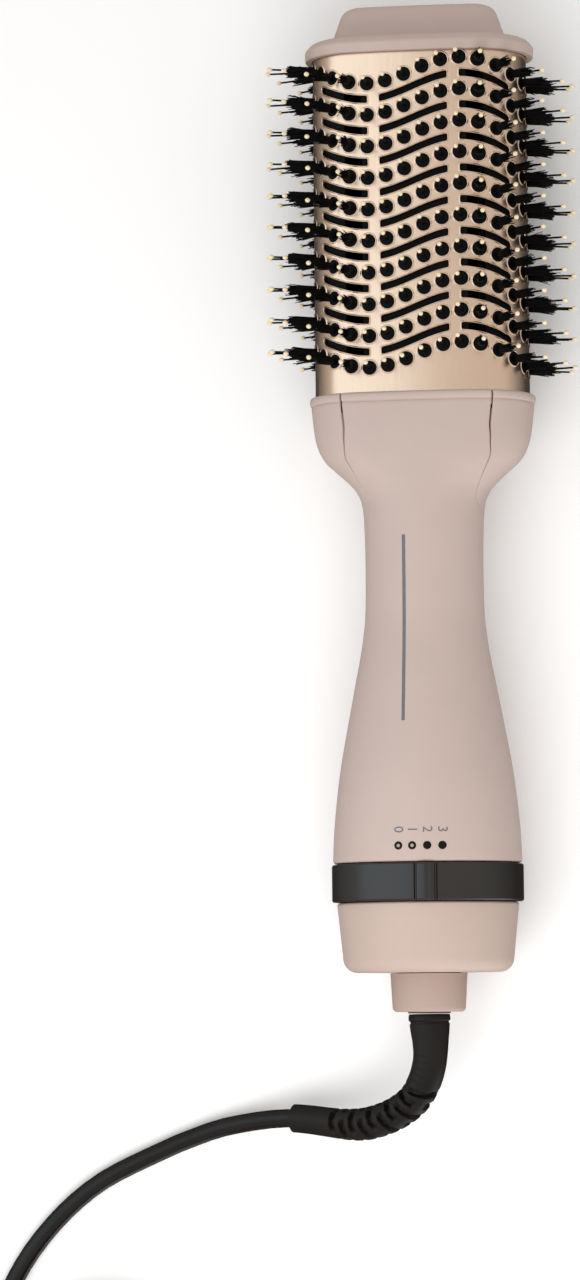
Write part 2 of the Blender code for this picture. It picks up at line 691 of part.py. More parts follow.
def make_base():
    """The base cap with its spigot through the ring, the intake filter and the cord boss."""
    cup = [
        (31.4, 316.4), (31.7, 317.4), (31.1, 324.2), (30.55, 329.4), (30.0, 334.4), (29.1, 337.6),
        (27.3, 339.8), (24.8, BASE_END), (11.6, BASE_END), (11.6, 338.7), (24.6, 338.7),
        (27.0, 336.9), (28.0, 334.0), (29.1, 324.2), (29.5, 318.6), (SPIGOT_BORE, 318.6),
        (SPIGOT_BORE, 292.0), (SPIGOT_RADIUS, 292.0), (SPIGOT_RADIUS, 316.4),
    ]
    base = turned("base_cap", cup, "matte_rose", BRUSH, steps=32)
    slots = []
    for i in range(INTAKE_SLOTS):
        turn = Matrix.Rotation(2 * math.pi * (i + 0.5) / INTAKE_SLOTS, 3, "Z")
        corners = [(15.6, -1.1), (24.2, -1.1), (24.2, 1.1), (15.6, 1.1)]
        slots.append([[turn @ Vector((x, y, height(s))) for x, y in corners] for s in (336, 343)])
    boolean(base, joined("intake_slots", slots, None, BRUSH), "DIFFERENCE")
    window = [[(x, y, height(s)) for x, s in ((-10, 306.4), (10, 306.4), (10, 312.8), (-10, 312.8))]
              for y in (-20.0, -30.0)]
    boolean(base, joined("driver_window", [window], None, BRUSH), "DIFFERENCE")
    disc = [(26.0, 336.2), (26.0, 337.0), (12.2, 337.0), (12.2, 336.2)]
    turned("intake_filter", disc, "mesh_grey", BRUSH, steps=20)
    boss = [
        (11.3, 330.0), (11.3, 341.0), (13.45, 341.0), (13.35, 345.1), (13.0, 350.3), (12.7, 353.0),
        (12.0, 354.1), (11.2, BODY_LENGTH), (7.9, BODY_LENGTH), (7.9, 330.0),
    ]
    turned("cord_boss", boss, "matte_taupe", BRUSH, steps=20)


# ---------------------------------------------------------------- wiring and lead


def make_inner_wiring():
    for word, side in SIDES:
        run = [
            (side * 9, -15.6, 293.0), (side * 15, -19.5, 292.6), (side * 21.0, -16.5, 290.5),
            (side * 22.0, -13.9, 285), (side * 22.0, -13.4, 270), (side * 21.9, -13.2, 262),
            (side * 18.5, -11.4, 251), (side * 13.0, -9.0, 232), (side * 9, -7.5, 215),
            (side * 6.5, -6.0, 203),
        ]
        points = [(x, y, height(s)) for x, y, s in run]
        wire(f"heater_lead_{word}", smooth_route(points, 8)[0], 0.7, "black_rubber", BRUSH, resolution=0)
        run = [(side * 1.6, 0, 325.0), (side * 2.2, -3.5, 321), (side * 4, -8, 318.5), (side * 6, -12.4, 317)]
        points = [(x, y, height(s)) for x, y, s in run]
        wire(f"supply_lead_{word}", smooth_route(points, 4)[0], 0.9, "black_rubber", BRUSH, resolution=0)


def make_strain_relief(fine, along):
    """A tapered rubber sleeve around the first stretch of the lead."""
    stops = [(0, 7.3), (5, 7.0), (10, 6.25), (16, 5.95), (52, 5.75), (RELIEF_LENGTH, 4.75)]
    count = 20
    points, radii = [], []
    for i in range(count + 1):
        length = RELIEF_LENGTH * i / count
        points.append(at_length(fine, along, length))
        for (a, low), (b, high) in zip(stops, stops[1:]):
            if a <= length <= b:
                radius = low + (high - low) * (length - a) / (b - a)
        radii.append(radius)
    wire("strain_relief", points, 6.0, "black_rubber", None, radii=radii, resolution=2)


def make_lead():
    """The swivelling ferrule, the strain relief, the lead to its coil, and the tail to the plug."""
    ferrule = [(9.6, 325.6), (9.6, 329.5), (7.5, 329.5), (7.5, 354.9), (3.7, 354.9), (3.7, 325.6)]
    turned("swivel_ferrule", ferrule, "black_plastic", BRUSH, steps=16)
    _, fine, along = smooth_route(LEAD_ROUTE, 10)
    make_strain_relief(fine, along)
    start, end = RELIEF_LENGTH + GAP, along[-1]
    count = 26
    points = [at_length(fine, along, start + (end - start) * i / count) for i in range(count + 1)]
    tube = as_mesh(wire("cord_tube", points, CORD_RADIUS, "black_rubber", None, resolution=2))
    above, below, clear = 30, -30, COIL_OUTER + GAP
    space = [(0, above), (clear, above), (clear, below), (0, below)]
    cutter = turned("coil_space", space, None, None, steps=48, centre=COIL_CENTRE, level=unchanged)
    boolean(tube, cutter, "DIFFERENCE")
    ring = [(COIL_OUTER, COIL_HEIGHT), (COIL_OUTER, 0), (COIL_INNER, 0), (COIL_INNER, COIL_HEIGHT)]
    turned("cord_coil", ring, "black_rubber", None, steps=40, centre=COIL_CENTRE, level=unchanged)
    wire("cord_tail", smooth_route(TAIL_ROUTE, 8)[0], CORD_RADIUS, "black_rubber", None, resolution=2)


def make_plug():
    """A two-pin plug that lies flat beside the coil."""
    turn = Matrix.Rotation(PLUG_HEADING, 4, "Z") @ Matrix.Rotation(math.radians(90), 4, "Y")
    axis = new_empty("plug_axis", PLUG_ENTRY, turn.to_euler())
    shape = [
        # (half width, half thickness, distance from the cord's end)
        (4.3, 4.3, 0), (4.7, 4.7, 7), (7.5, 6.2, 9.5), (14, 8.2, 15), (17.4, 8.5, 22),
        (18.2, 8.5, 38), (17.4, 7.7, PLUG_LENGTH),
    ]
    sections = []
    for wide, thick, along in shape:
        sections.append([(-y, x, along) for x, y in oval_outline(wide, thick, 24)])
    loft("plug_body", sections, "black_rubber", axis)
    foot = PLUG_LENGTH + GAP
    tip, radius, taper = foot + PLUG_PIN_LENGTH, PLUG_PIN_RADIUS, 1.2
    pin = [(0, tip), (radius - 0.7, tip), (radius, tip - taper), (radius, foot), (0, foot)]
    for word, side in SIDES:
        centre = (0, side * PLUG_PIN_SPACING / 2)
        turned(f"plug_pin_{word}", pin, "steel", axis, steps=14, centre=centre, level=unchanged)


clear_scene()
PARTS = new_collection("hot_air_brush")
CUTTERS = new_collection("cutters")
BRUSH = new_empty("brush_axis", (0, 0, AXIS_HEIGHT), (math.radians(-90), 0, 0))

make_end_cap()
make_barrel()
make_pin_strips()
make_side_bristles()
make_head_frame()
make_heater()
make_handle_shells()
make_motor_mount()
make_motor()
make_selector()
make_base()
make_inner_wiring()
make_lead()
make_plug()
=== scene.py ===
"""The looks of the hot air brush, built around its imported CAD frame.

Lengths in the code are in millimetres. A "station" is the distance from the brush's tip along its long
axis, x is to the right seen from the front, and h is the height in front of the axis (world +Z).
"""

import json
import math
import random
from bisect import bisect_left

import bmesh
import bpy
from mathutils import Matrix, Vector


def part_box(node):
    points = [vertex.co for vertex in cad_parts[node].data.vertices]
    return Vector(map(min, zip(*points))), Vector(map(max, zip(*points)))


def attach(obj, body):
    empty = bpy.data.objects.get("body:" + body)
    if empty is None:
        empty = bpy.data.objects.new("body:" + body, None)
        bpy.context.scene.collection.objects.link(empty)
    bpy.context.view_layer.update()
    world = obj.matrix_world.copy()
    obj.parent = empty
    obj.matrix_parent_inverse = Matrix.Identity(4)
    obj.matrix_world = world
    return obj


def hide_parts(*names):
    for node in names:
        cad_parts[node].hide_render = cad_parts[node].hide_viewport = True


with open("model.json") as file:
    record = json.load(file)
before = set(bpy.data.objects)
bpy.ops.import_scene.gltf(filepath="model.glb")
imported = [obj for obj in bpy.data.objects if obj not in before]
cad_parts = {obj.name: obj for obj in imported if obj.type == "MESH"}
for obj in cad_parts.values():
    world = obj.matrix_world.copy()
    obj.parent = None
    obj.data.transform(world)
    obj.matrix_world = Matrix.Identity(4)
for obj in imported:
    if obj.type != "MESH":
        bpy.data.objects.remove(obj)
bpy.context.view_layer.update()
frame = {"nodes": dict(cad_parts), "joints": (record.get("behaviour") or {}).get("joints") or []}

MM = 0.001
JOINTS = {joint["name"]: joint for joint in frame["joints"]}
TIP_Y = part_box("end_cap")[1].y
AXIS_Z = JOINTS["selector_turn"]["pos_m"][2]
SEED = 11

# Barrel and its pattern of holes, slots and bristles
BARREL_HALF_WIDTH, BARREL_HALF_DEPTH, BARREL_WALL = 37.8, 20.5, 0.8
BARREL_TOP, BARREL_END = 15.0, 144.0
FLAT = BARREL_HALF_WIDTH - BARREL_HALF_DEPTH  # half the width of its flat front
ROW_COUNT, FIRST_ROW, ROW_PITCH = 10, 26.1, 11.125
COLUMN_COUNT, COLUMN_PITCH = 30, 6.49
WAVE_HEIGHT, WAVE_LENGTH = 4.2, 10 * COLUMN_PITCH
HOLE_RADIUS = 2.4
CELL_STEPS = 6  # mesh steps across one column
CELL_REACH = 3.6  # half the height of the band that holds a row of holes
SLOT_HALF = 1.22  # half a slot's width
FRONT_SLOTS = ((-32, -15), (-11, 11), (15, 32))  # spans in mesh steps from the front's middle
PIN_TIP_REACH = 33.5  # of the front and rear pins' tips from the axis
SIDE_TIP_REACH = 37.7  # of the outermost pins' tips from the middle of the half-round side

# Handle
WALL = 2.0
SEAM = 0.2  # width of the gap between two shells
HANDLE_END = 302.7
SOCKET_END, BARREL_GAP = 146.0, 0.4  # down to this station the handle holds the barrel, with this gap
TONGUE_TIP = 180.0
RING_TOP, RING_END, RING_RADIUS, RING_BORE = 303.1, 316.1, 33.5, 28.5
RIDGE_ANGLE = math.radians(5.0)
BASE_END, BODY_END = 340.7, 354.4

# Lead
CORD_RADIUS = 3.25
RELIEF_LENGTH = 82.0
LEAD_ROUTE = [
    (0.0, -178.0, 33.5), (0.0, -193.9, 33.2), (-3.9, -204.7, 31.0), (-10.2, -211.0, 28.0),
    (-19.6, -215.2, 24.0), (-30.1, -216.5, 19.5), (-53.3, -214.4, 11.0), (-75.2, -217.2, 5.2),
    (-89.3, -221.6, 3.5), (-99.7, -225.9, 3.3), (-117.0, -234.0, 3.3), (-127.5, -240.8, 3.3),
    (-138.0, -250.3, 3.3), (-148.5, -263.2, 3.3), (-156.3, -278.0, 3.3), (-159.6, -296.0, 3.3),
    (-160.5, -325.0, 3.3),
]
TAIL_ROUTE = [
    (-104.8, -374.3, 3.3), (-88.0, -368.5, 3.3), (-75.0, -361.2, 4.4), (-63.0, -355.2, 7.6),
    (-52.6, -351.2, 8.5),
]
COIL_CENTRE = (-118.0, -325.0)
TURN_RADII = (42.5, 36.0, 29.5)
LAYER_HEIGHTS = (4.05, 10.55, 17.05)


# --- materials


def feed(owner, target, inputs):
    """Gives a node's inputs their values, or links them from the outputs of other nodes."""
    for name, value in inputs.items():
        if isinstance(value, bpy.types.NodeSocket):
            owner.node_tree.links.new(value, target.inputs[name])
        else:
            target.inputs[name].default_value = value


def node(owner, kind, inputs, **settings):
    """Adds a node to a material or a world."""
    made = owner.node_tree.nodes.new(kind)
    for name, value in settings.items():
        setattr(made, name, value)
    feed(owner, made, inputs)
    return made.outputs


def coordinates(owner, stretch=(1.0, 1.0, 1.0)):
    """The piece's own coordinates in metres, scaled."""
    where = node(owner, "ShaderNodeTexCoord", {})["Object"]
    return node(owner, "ShaderNodeVectorMath", {0: where, 1: stretch}, operation="MULTIPLY")[0]


def noise(owner, vector, scale, detail):
    return node(owner, "ShaderNodeTexNoise", {"Vector": vector, "Scale": scale, "Detail": detail})["Fac"]


def remap(owner, value, low, high, start=0.3, end=0.7):
    ends = {"From Min": start, "From Max": end, "To Min": low, "To Max": high}
    return node(owner, "ShaderNodeMapRange", {"Value": value, **ends})["Result"]


def two_tone(owner, factor, first, second):
    tones = {"Factor": factor, 6: (*first, 1.0), 7: (*second, 1.0)}
    return node(owner, "ShaderNodeMix", tones, data_type="RGBA")[2]


def bump(owner, height, strength, depth):
    ends = {"Height": height, "Strength": strength, "Distance": depth}
    return node(owner, "ShaderNodeBump", ends)["Normal"]


def shade(material, inputs):
    feed(material, material.node_tree.nodes["Principled BSDF"], inputs)


def finish(
    name, colour, roughness, metallic=0.0, specular=0.5, tint=0.04, patch=60.0, grain=1500.0, relief=0.1,
    spread=0.05, stretch=(1.0, 1.0, 1.0),
):
    """A moulded or drawn surface: soft patches of tint, fine grain, and roughness that varies a little."""
    material = bpy.data.materials.new(name)
    material.use_nodes = True
    patches = noise(material, coordinates(material), patch, 2.0)
    fine = noise(material, coordinates(material, stretch), grain, 4.0)
    darker = [c * (1 - tint) for c in colour]
    lighter = [min(1.0, c * (1 + tint)) for c in colour]
    shade(material, {
        "Base Color": two_tone(material, remap(material, patches, 0.0, 1.0), darker, lighter),
        "Roughness": remap(material, fine, roughness - spread, roughness + spread),
        "Normal": bump(material, fine, relief, 0.0001),
        "Metallic": metallic,
        "Specular IOR Level": specular,
    })
    return material


def make_circuit_board():
    """Green solder resist with lighter copper runs and pads."""
    resist = (0.02, 0.13, 0.05)
    material = finish("circuit_board_green", resist, 0.4)
    runs = node(material, "ShaderNodeTexBrick", {
        "Vector": coordinates(material), "Scale": 260.0, "Mortar Size": 0.05, "Color1": (*resist, 1),
        "Color2": (0.025, 0.16, 0.06, 1), "Mortar": (0.06, 0.3, 0.1, 1),
    })
    shade(material, {"Base Color": runs["Color"]})
    return material


def make_mesh_cloth():
    """A woven filter: two crossed sets of threads."""
    material = finish("filter_weave", (0.05, 0.05, 0.055), 0.6)
    wave_inputs = {"Vector": coordinates(material), "Scale": 500.0}
    threads = [node(material, "ShaderNodeTexWave", wave_inputs, bands_direction=way)["Fac"] for way in "XZ"]
    crossed = node(material, "ShaderNodeMath", dict(enumerate(threads)), operation="MULTIPLY")[0]
    shade(material, {
        "Base Color": two_tone(material, crossed, (0.02, 0.02, 0.022), (0.12, 0.12, 0.13)),
        "Normal": bump(material, crossed, 0.6, 0.0004),
    })
    return material


# The cap's tone is a lit copy of the handle's rose plastic. It is painted light: slightly lighter and warmer,
# to set the cap's brightness and tint under this lighting.
FINISHES = {
    name: finish(f"soft_touch_{name}", colour, 0.55, tint=0.015, grain=2600.0)
    for name, colour in {
        "cap_painted_light": (0.53, 0.415, 0.368), "rose": (0.49, 0.388, 0.348), "blush": (0.475, 0.367, 0.312),
        "collar": (0.40, 0.295, 0.25),
    }.items()
}
FINISHES |= {
    "metal": finish(
        "champagne_barrel", (0.74, 0.535, 0.395), 0.25, metallic=1.0, tint=0.015, patch=40.0, grain=900.0,
        relief=0.004, spread=0.03, stretch=(1.0, 0.1, 1.0),
    ),
    "nylon": finish("black_nylon", (0.0025, 0.0023, 0.0025), 0.55, tint=0.3, grain=3000.0, specular=0.08),
    "plug": finish("plug_nylon", (0.002, 0.002, 0.0025), 0.5, tint=0.3, grain=3000.0, specular=0.08),
    "tip": finish("cream_tip", (0.85, 0.71, 0.48), 0.4, tint=0.06, patch=900.0),
    "ring": finish("satin_black", (0.008, 0.0052, 0.003), 0.33, tint=0.2, grain=2400.0, specular=0.62),
    "print": finish("grey_print", (0.13, 0.122, 0.135), 0.5, tint=0.06, patch=500.0),
    "dot": finish("dot_black", (0.006, 0.005, 0.004), 0.45, tint=0.2, specular=0.15),
    "lens": finish("dot_lens", (0.36, 0.31, 0.27), 0.3, tint=0.1),
    "rubber": finish("black_rubber", (0.007, 0.0052, 0.0042), 0.45, tint=0.25, grain=2200.0, specular=0.22),
    "cord": finish(
        "black_cord", (0.006, 0.0045, 0.004), 0.28, tint=0.25, grain=900.0, relief=0.08, specular=0.25,
    ),
    "black": finish("black_plastic", (0.012, 0.012, 0.013), 0.42, tint=0.2),
    "grey": finish("grey_plastic", (0.2, 0.2, 0.2), 0.5),
    "mica": finish("mica_board", (0.5, 0.4, 0.26), 0.35, tint=0.25, patch=300.0, relief=0.3),
    "wire": finish("resistance_wire", (0.35, 0.31, 0.28), 0.35, metallic=1.0, tint=0.2, patch=200.0),
    "steel": finish("bright_steel", (0.55, 0.55, 0.56), 0.28, metallic=1.0, tint=0.05),
    "nickel": finish("nickel_pins", (0.66, 0.64, 0.6), 0.2, metallic=1.0, tint=0.04),
    "ceramic": finish("white_ceramic", (0.72, 0.7, 0.66), 0.45, tint=0.05, patch=200.0),
    "board": make_circuit_board(),
    "weave": make_mesh_cloth(),
}


# --- mesh building


class Shape:
    """Points in metres and faces, gathered before they become one object."""

    def __init__(self):
        self.points = []
        self.faces = []

    def ring(self, points):
        start = len(self.points)
        self.points.extend(points)
        return list(range(start, start + len(points)))

    def skin(self, first, second, closed=True):
        count = len(first)
        for i in range(count if closed else count - 1):
            j = (i + 1) % count
            self.faces.append((first[i], first[j], second[j], second[i]))

    def tube(self, sections):
        """A closed body through rings of points, with flat ends."""
        rings = [self.ring(section) for section in sections]
        for first, second in zip(rings, rings[1:]):
            self.skin(first, second)
        self.faces.append(tuple(rings[0]))
        self.faces.append(tuple(rings[-1]))
        return self

    def loop(self, sections):
        """A closed body through rings of points, whose last ring meets the first."""
        rings = [self.ring(section) for section in sections]
        for first, second in zip(rings, rings[1:] + rings[:1]):
            self.skin(first, second)
        return self

    def thick_grid(self, outer, inner, closed=False, gone=None):
        """A sheet with two sides, given as rows of points, and walls wherever it ends or a cell is gone."""
        a = [self.ring(row) for row in outer]
        b = [self.ring(row) for row in inner]
        rows, count = len(a) - 1, len(a[0])
        columns = count if closed else count - 1

        def here(i, j):
            if not 0 <= i < rows or not (closed or 0 <= j < columns):
                return False
            return gone is None or not gone(i, j % count)

        for i in range(rows):
            for j in range(columns):
                if not here(i, j):
                    continue
                k = (j + 1) % count
                corners = (i, j), (i, k), (i + 1, k), (i + 1, j)
                self.faces.append(tuple(a[m][n] for m, n in corners))
                self.faces.append((b[i][k], b[i][j], b[i + 1][j], b[i + 1][k]))
                beside = (i - 1, j), (i, j + 1), (i + 1, j), (i, j - 1)
                for neighbour, (m, n), (p, q) in zip(beside, corners, corners[1:] + corners[:1]):
                    if not here(*neighbour):
                        self.faces.append((a[p][q], a[m][n], b[m][n], b[p][q]))
        return self


def piece(name, shape, look, replaces=(), body="body", sharp=40.0, weld=False):
    """Makes the shape an object of the brush that rides on a body."""
    mesh = bpy.data.meshes.new(name)
    mesh.from_pydata(shape.points, [], shape.faces)
    bm = bmesh.new()
    bm.from_mesh(mesh)
    if weld:
        bmesh.ops.remove_doubles(bm, verts=bm.verts, dist=0.00001)
    bmesh.ops.recalc_face_normals(bm, faces=bm.faces)
    bm.to_mesh(mesh)
    bm.free()
    mesh.shade_smooth()
    mesh.set_sharp_from_angle(angle=math.radians(sharp))
    mesh.materials.append(FINISHES[look])
    obj = bpy.data.objects.new(name, mesh)
    bpy.context.scene.collection.objects.link(obj)
    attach(obj, body)
    if replaces:
        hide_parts(*replaces)
    return obj


def place(x, h, station):
    return Vector((x * MM, TIP_Y - station * MM, AXIS_Z + h * MM))


def polar(radius, angle, station):
    """A point round the axis, at an angle from the front towards +x."""
    return place(radius * math.sin(angle), radius * math.cos(angle), station)


def spaced(start, end, count):
    """Evenly spaced values, both ends included."""
    return [start + (end - start) * i / count for i in range(count + 1)]


def full_turn(count):
    return spaced(0.0, 2 * math.pi, count)[:-1]


def rounded(corners, step=math.radians(12)):
    """The points of an outline whose corners (x, y, radius) are rounded."""
    points = [Vector(corners[0][:2])]
    for before, (x, y, radius), after in zip(corners, corners[1:], corners[2:]):
        corner = Vector((x, y))
        a, b = (Vector(p[:2]) - corner for p in (before, after))
        turn = math.pi - a.angle(b)
        if radius == 0 or turn < 0.01:
            points.append(corner)
            continue
        reach = radius * math.tan(turn / 2)
        start = corner + a.normalized() * reach
        middle = corner + (a.normalized() + b.normalized()).normalized() * (radius / math.cos(turn / 2))
        count = max(2, math.ceil(turn / step))
        from_middle = start - middle
        side = 1 if a.x * b.y - a.y * b.x < 0 else -1
        for i in range(count + 1):
            spin = Matrix.Rotation(side * turn * i / count, 2)
            points.append(middle + spin @ from_middle)
    points.append(Vector(corners[-1][:2]))
    return points


def oval_point(half_width, half_depth, angle):
    """(x, h) on an oval section, at an angle from the front towards +x; soft where its flat faces end."""
    flat_share = max(-1.0, min(1.0, 2 * math.sin(angle)))
    flat_share = 1.5 * flat_share - 0.5 * flat_share**3
    x = (half_width - half_depth) * flat_share + half_depth * math.sin(angle)
    return x, half_depth * math.cos(angle)


def oval(half_width, half_depth, station, count=128):
    return [place(*oval_point(half_width, half_depth, angle), station) for angle in full_turn(count)]


def circle(radius, station, count=128):
    return oval(radius, radius, station, count)


def eased(points):
    """A function that reads a smooth curve through rows (station, value, ...) without overshoot."""
    stations = [p[0] for p in points]
    columns = list(zip(*points))[1:]

    def slopes(values):
        runs = [(b - a) / (t - s) for a, b, s, t in zip(values, values[1:], stations, stations[1:])]
        inner = [0.0 if p * q <= 0 else 2 * p * q / (p + q) for p, q in zip(runs, runs[1:])]
        return [runs[0], *inner, runs[-1]]

    tilts = [slopes(values) for values in columns]

    def read(station):
        i = max(0, min(len(stations) - 2, bisect_left(stations, station) - 1))
        width = stations[i + 1] - stations[i]
        t = (station - stations[i]) / width
        found = []
        for values, tilt in zip(columns, tilts):
            a = values[i] * (1 + 2 * t) * (1 - t) ** 2 + tilt[i] * width * t * (1 - t) ** 2
            b = values[i + 1] * t * t * (3 - 2 * t) - tilt[i + 1] * width * t * t * (1 - t)
            found.append(a + b)
        return found

    return read


def smooth_route(points, steps=20):
    """A fine curve through points (Catmull-Rom)."""
    knots = [Vector(p) for p in points]
    knots = [2 * knots[0] - knots[1]] + knots + [2 * knots[-1] - knots[-2]]
    fine = []
    for a, b, c, d in zip(knots, knots[1:], knots[2:], knots[3:]):
        for i in range(steps):
            t = i / steps
            fine.append(
                0.5 * (2 * b + (c - a) * t + (2 * a - 5 * b + 4 * c - d) * t**2)
                + 0.5 * (3 * b - a - 3 * c + d) * t**3
            )
    fine.append(knots[-2])
    return fine


def lengths_along(points):
    along = [0.0]
    for a, b in zip(points, points[1:]):
        along.append(along[-1] + (b - a).length)
    return along


def point_at(points, along, length):
    i = max(1, min(len(along) - 1, bisect_left(along, length)))
    share = (length - along[i - 1]) / max(along[i] - along[i - 1], 1e-9)
    return points[i - 1].lerp(points[i], share)


def sweep_frames(points):
    """(point, side, up) along a path, turning as little as possible; up starts as near +Z as it can."""
    frames = []
    up = Vector((0, 0, 1))
    for i, point in enumerate(points):
        ahead = (points[min(i + 1, len(points) - 1)] - points[max(i - 1, 0)]).normalized()
        up = (up - ahead * up.dot(ahead)).normalized()
        frames.append((point, ahead.cross(up), up))
    return frames


# --- camera, light and floor


def make_camera():
    data = bpy.data.cameras.new("camera")
    data.lens, data.sensor_width = 137.93, 36.0
    data.clip_start, data.clip_end = 0.05, 20.0
    camera = bpy.data.objects.new("camera", data)
    camera.location = (0.1919, -0.1722, 1.7380)
    turn = Matrix.Identity(3)
    for axis, degrees in (("Y", 8.008), ("X", 4.183), ("Z", -0.512)):
        turn = turn @ Matrix.Rotation(math.radians(degrees), 3, axis)
    camera.rotation_euler = turn.to_euler()
    bpy.context.scene.collection.objects.link(camera)
    bpy.context.scene.camera = camera


def make_panel(name, location, target, size, radiance, colour, seen_by):
    """A softbox that either lights matt surfaces or shows in glossy ones."""
    data = bpy.data.lights.new(name, "AREA")
    data.shape = "RECTANGLE"
    data.size, data.size_y = size
    data.energy = radiance * math.pi * size[0] * size[1]
    data.color = colour
    panel = bpy.data.objects.new(name, data)
    panel.location = location
    aim = Vector(target) - Vector(location)
    panel.rotation_euler = aim.to_track_quat("-Z", "Y").to_euler()
    panel.visible_camera = False
    panel.visible_diffuse = seen_by == "matt"
    panel.visible_glossy = seen_by == "glossy"
    bpy.context.scene.collection.objects.link(panel)


def make_light():
    """An even studio dome that is darker below the horizon, and softboxes on the left and above."""
    world = bpy.data.worlds.new("studio")
    world.use_nodes = True
    where = node(world, "ShaderNodeTexCoord", {})["Generated"]
    height = node(world, "ShaderNodeSeparateXYZ", {0: where})["Z"]
    glow_way = Vector((0.5, -0.8, -0.33)).normalized()
    toward = node(world, "ShaderNodeVectorMath", {0: where, 1: glow_way}, operation="DOT_PRODUCT")["Value"]
    sky = remap(world, height, 0.06, 0.78, -0.75, 0.25)
    glow = remap(world, toward, 0.0, 1.6, 0.8, 0.95)
    both = node(world, "ShaderNodeMath", {0: sky, 1: glow}, operation="ADD")[0]
    feed(world, world.node_tree.nodes["Background"], {"Strength": both, "Color": (1.0, 0.99, 0.975, 1.0)})
    bpy.context.scene.world = world
    bpy.context.scene.view_settings.view_transform = "Standard"
    make_panel(
        "left_softbox", (-1.12, 0.15, 1.2), (0, 0, 0.03), (1.42, 2.4), 0.88, (0.63, 0.84, 1.0), "glossy",
    )
    make_panel("front_softbox", (-0.05, -0.5, 0.6), (0, -0.2, 0.03), (0.7, 0.5), 3.3, (1, 1, 1), "matt")


def make_floor():
    bm = bmesh.new()
    bmesh.ops.create_grid(bm, x_segments=8, y_segments=8, size=20.0)
    mesh = bpy.data.meshes.new("floor")
    bm.to_mesh(mesh)
    bm.free()
    floor = bpy.data.objects.new("floor", mesh)
    mesh.materials.append(finish("pale_floor", (0.97, 0.97, 0.97), 0.8, tint=0.004, patch=3.0, relief=0.02))
    floor.visible_glossy = False
    bpy.context.scene.collection.objects.link(floor)


# --- lead


def coil_points():
    """The wound part: each event moves the cord to the next turn or layer over an eighth of a turn or so."""
    step_in, step_up = TURN_RADII[1] - TURN_RADII[0], LAYER_HEIGHTS[1] - LAYER_HEIGHTS[0]
    change, spread, parting = 145, 80, 320  # degrees: the first change, its length, and between events
    turns = [(change, step_in), (change + 360, step_in)]
    climbs = [change + 360 + parting]
    outward = climbs[0] + parting
    turns += [(outward, -step_in), (outward + 360, -step_in)]
    climbs.append(outward + 360 + parting)
    leave, end = 2190, 2265
    last = Vector(TAIL_ROUTE[0]) - Vector((*COIL_CENTRE, 0))

    def share(degree, start, width=spread):
        t = max(0.0, min(1.0, (degree - start) / width))
        return t * t * (3 - 2 * t)

    points = []
    for degree in range(0, end, 6):
        radius = TURN_RADII[0] + sum(move * share(degree, start) for start, move in turns)
        height = LAYER_HEIGHTS[0] + sum(step_up * share(degree, start) for start in climbs)
        height -= (LAYER_HEIGHTS[0] - CORD_RADIUS - 0.05) * (1 - share(degree, 0, 60))
        radius += (last.xy.length - TURN_RADII[0]) * share(degree, leave - 25, 60)
        height += (last.z - LAYER_HEIGHTS[2]) * share(degree, leave, end - leave)
        angle = math.radians(180 + degree)
        across = Vector((math.cos(angle), math.sin(angle), 0)) * radius
        points.append(Vector((*COIL_CENTRE, height)) + across)
    return points


def make_cord(plug_pieces):
    lead = smooth_route(LEAD_ROUTE)
    along = lengths_along(lead)
    shown = [point_at(lead, along, length) for length in spaced(RELIEF_LENGTH - 3, along[-1], 30)[:-1]]
    route = shown + coil_points() + smooth_route(TAIL_ROUTE, 4)
    curve = bpy.data.curves.new("cord", "CURVE")
    curve.dimensions = "3D"
    curve.bevel_depth = CORD_RADIUS * MM
    curve.bevel_resolution = 8
    curve.use_fill_caps = True
    spline = curve.splines.new("POLY")
    spline.points.add(len(route) - 1)
    for i, point in enumerate(route):
        spline.points[i].co = (*(point * MM), 1.0)
    spline.use_smooth = True
    curve.materials.append(FINISHES["cord"])
    cord = bpy.data.objects.new("cord", curve)
    bpy.context.scene.collection.objects.link(cord)
    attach(cord, "lead")
    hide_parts("cord_tube", "cord_coil", "cord_tail")
    exit_point = point_at(lead, along, RELIEF_LENGTH) * MM


def make_relief():
    """The rubber sleeve: a flange, fine slits on the straight part, and slanted ribs round the bend."""
    fine = smooth_route(LEAD_ROUTE)
    along = lengths_along(fine)
    width_at = eased([
        (0, 7.1), (1.2, 7.3), (2.2, 7.3), (2.5, 6.7), (3.1, 6.7), (3.4, 7.0), (5, 6.9), (10, 6.3), (16, 5.95),
        (52, 5.8), (68, 5.2), (RELIEF_LENGTH, 5.0),
    ])
    rib_start, rib_pitch, rib_count = 26.5, 4.1, 10
    slit_start, slit_pitch, slit_count = 14.0, 2.3, 5
    around = full_turn(48)
    stops = spaced(0, RELIEF_LENGTH, 320)
    sections = []
    for length, (point, side, up) in zip(stops, sweep_frames([point_at(fine, along, s) for s in stops])):
        section = []
        for angle in around:
            radius = width_at(length)[0]
            for i in range(rib_count):
                lean = 1.5 * math.sin(angle + 0.5)
                off = abs(length - rib_start - i * rib_pitch - lean)
                bridge = abs(math.sin(angle + (0.0 if i % 2 else math.pi / 2) + 0.5))
                open_share = max(0.0, min(1.0, (bridge - 0.3) * 6))
                radius -= 1.9 * open_share * max(0.0, min(1.0, (1.15 - off) / 0.35))
            for i in range(slit_count):
                off = abs(length - slit_start - i * slit_pitch)
                facing = max(0.0, math.cos(angle - 0.4)) ** 6
                radius += 0.3 * facing * max(0.0, 1 - off / 0.6)
            section.append((point + (side * math.sin(angle) + up * math.cos(angle)) * radius) * MM)
        sections.append(section)
    last = sections[-1]
    middle = sum(last, Vector()) / len(around)
    sections.append([middle + (p - middle) * 0.9 for p in last])
    shape = Shape().tube(sections)
    return piece("relief_sleeve", shape, "rubber", ["strain_relief"], "lead", sharp=50)


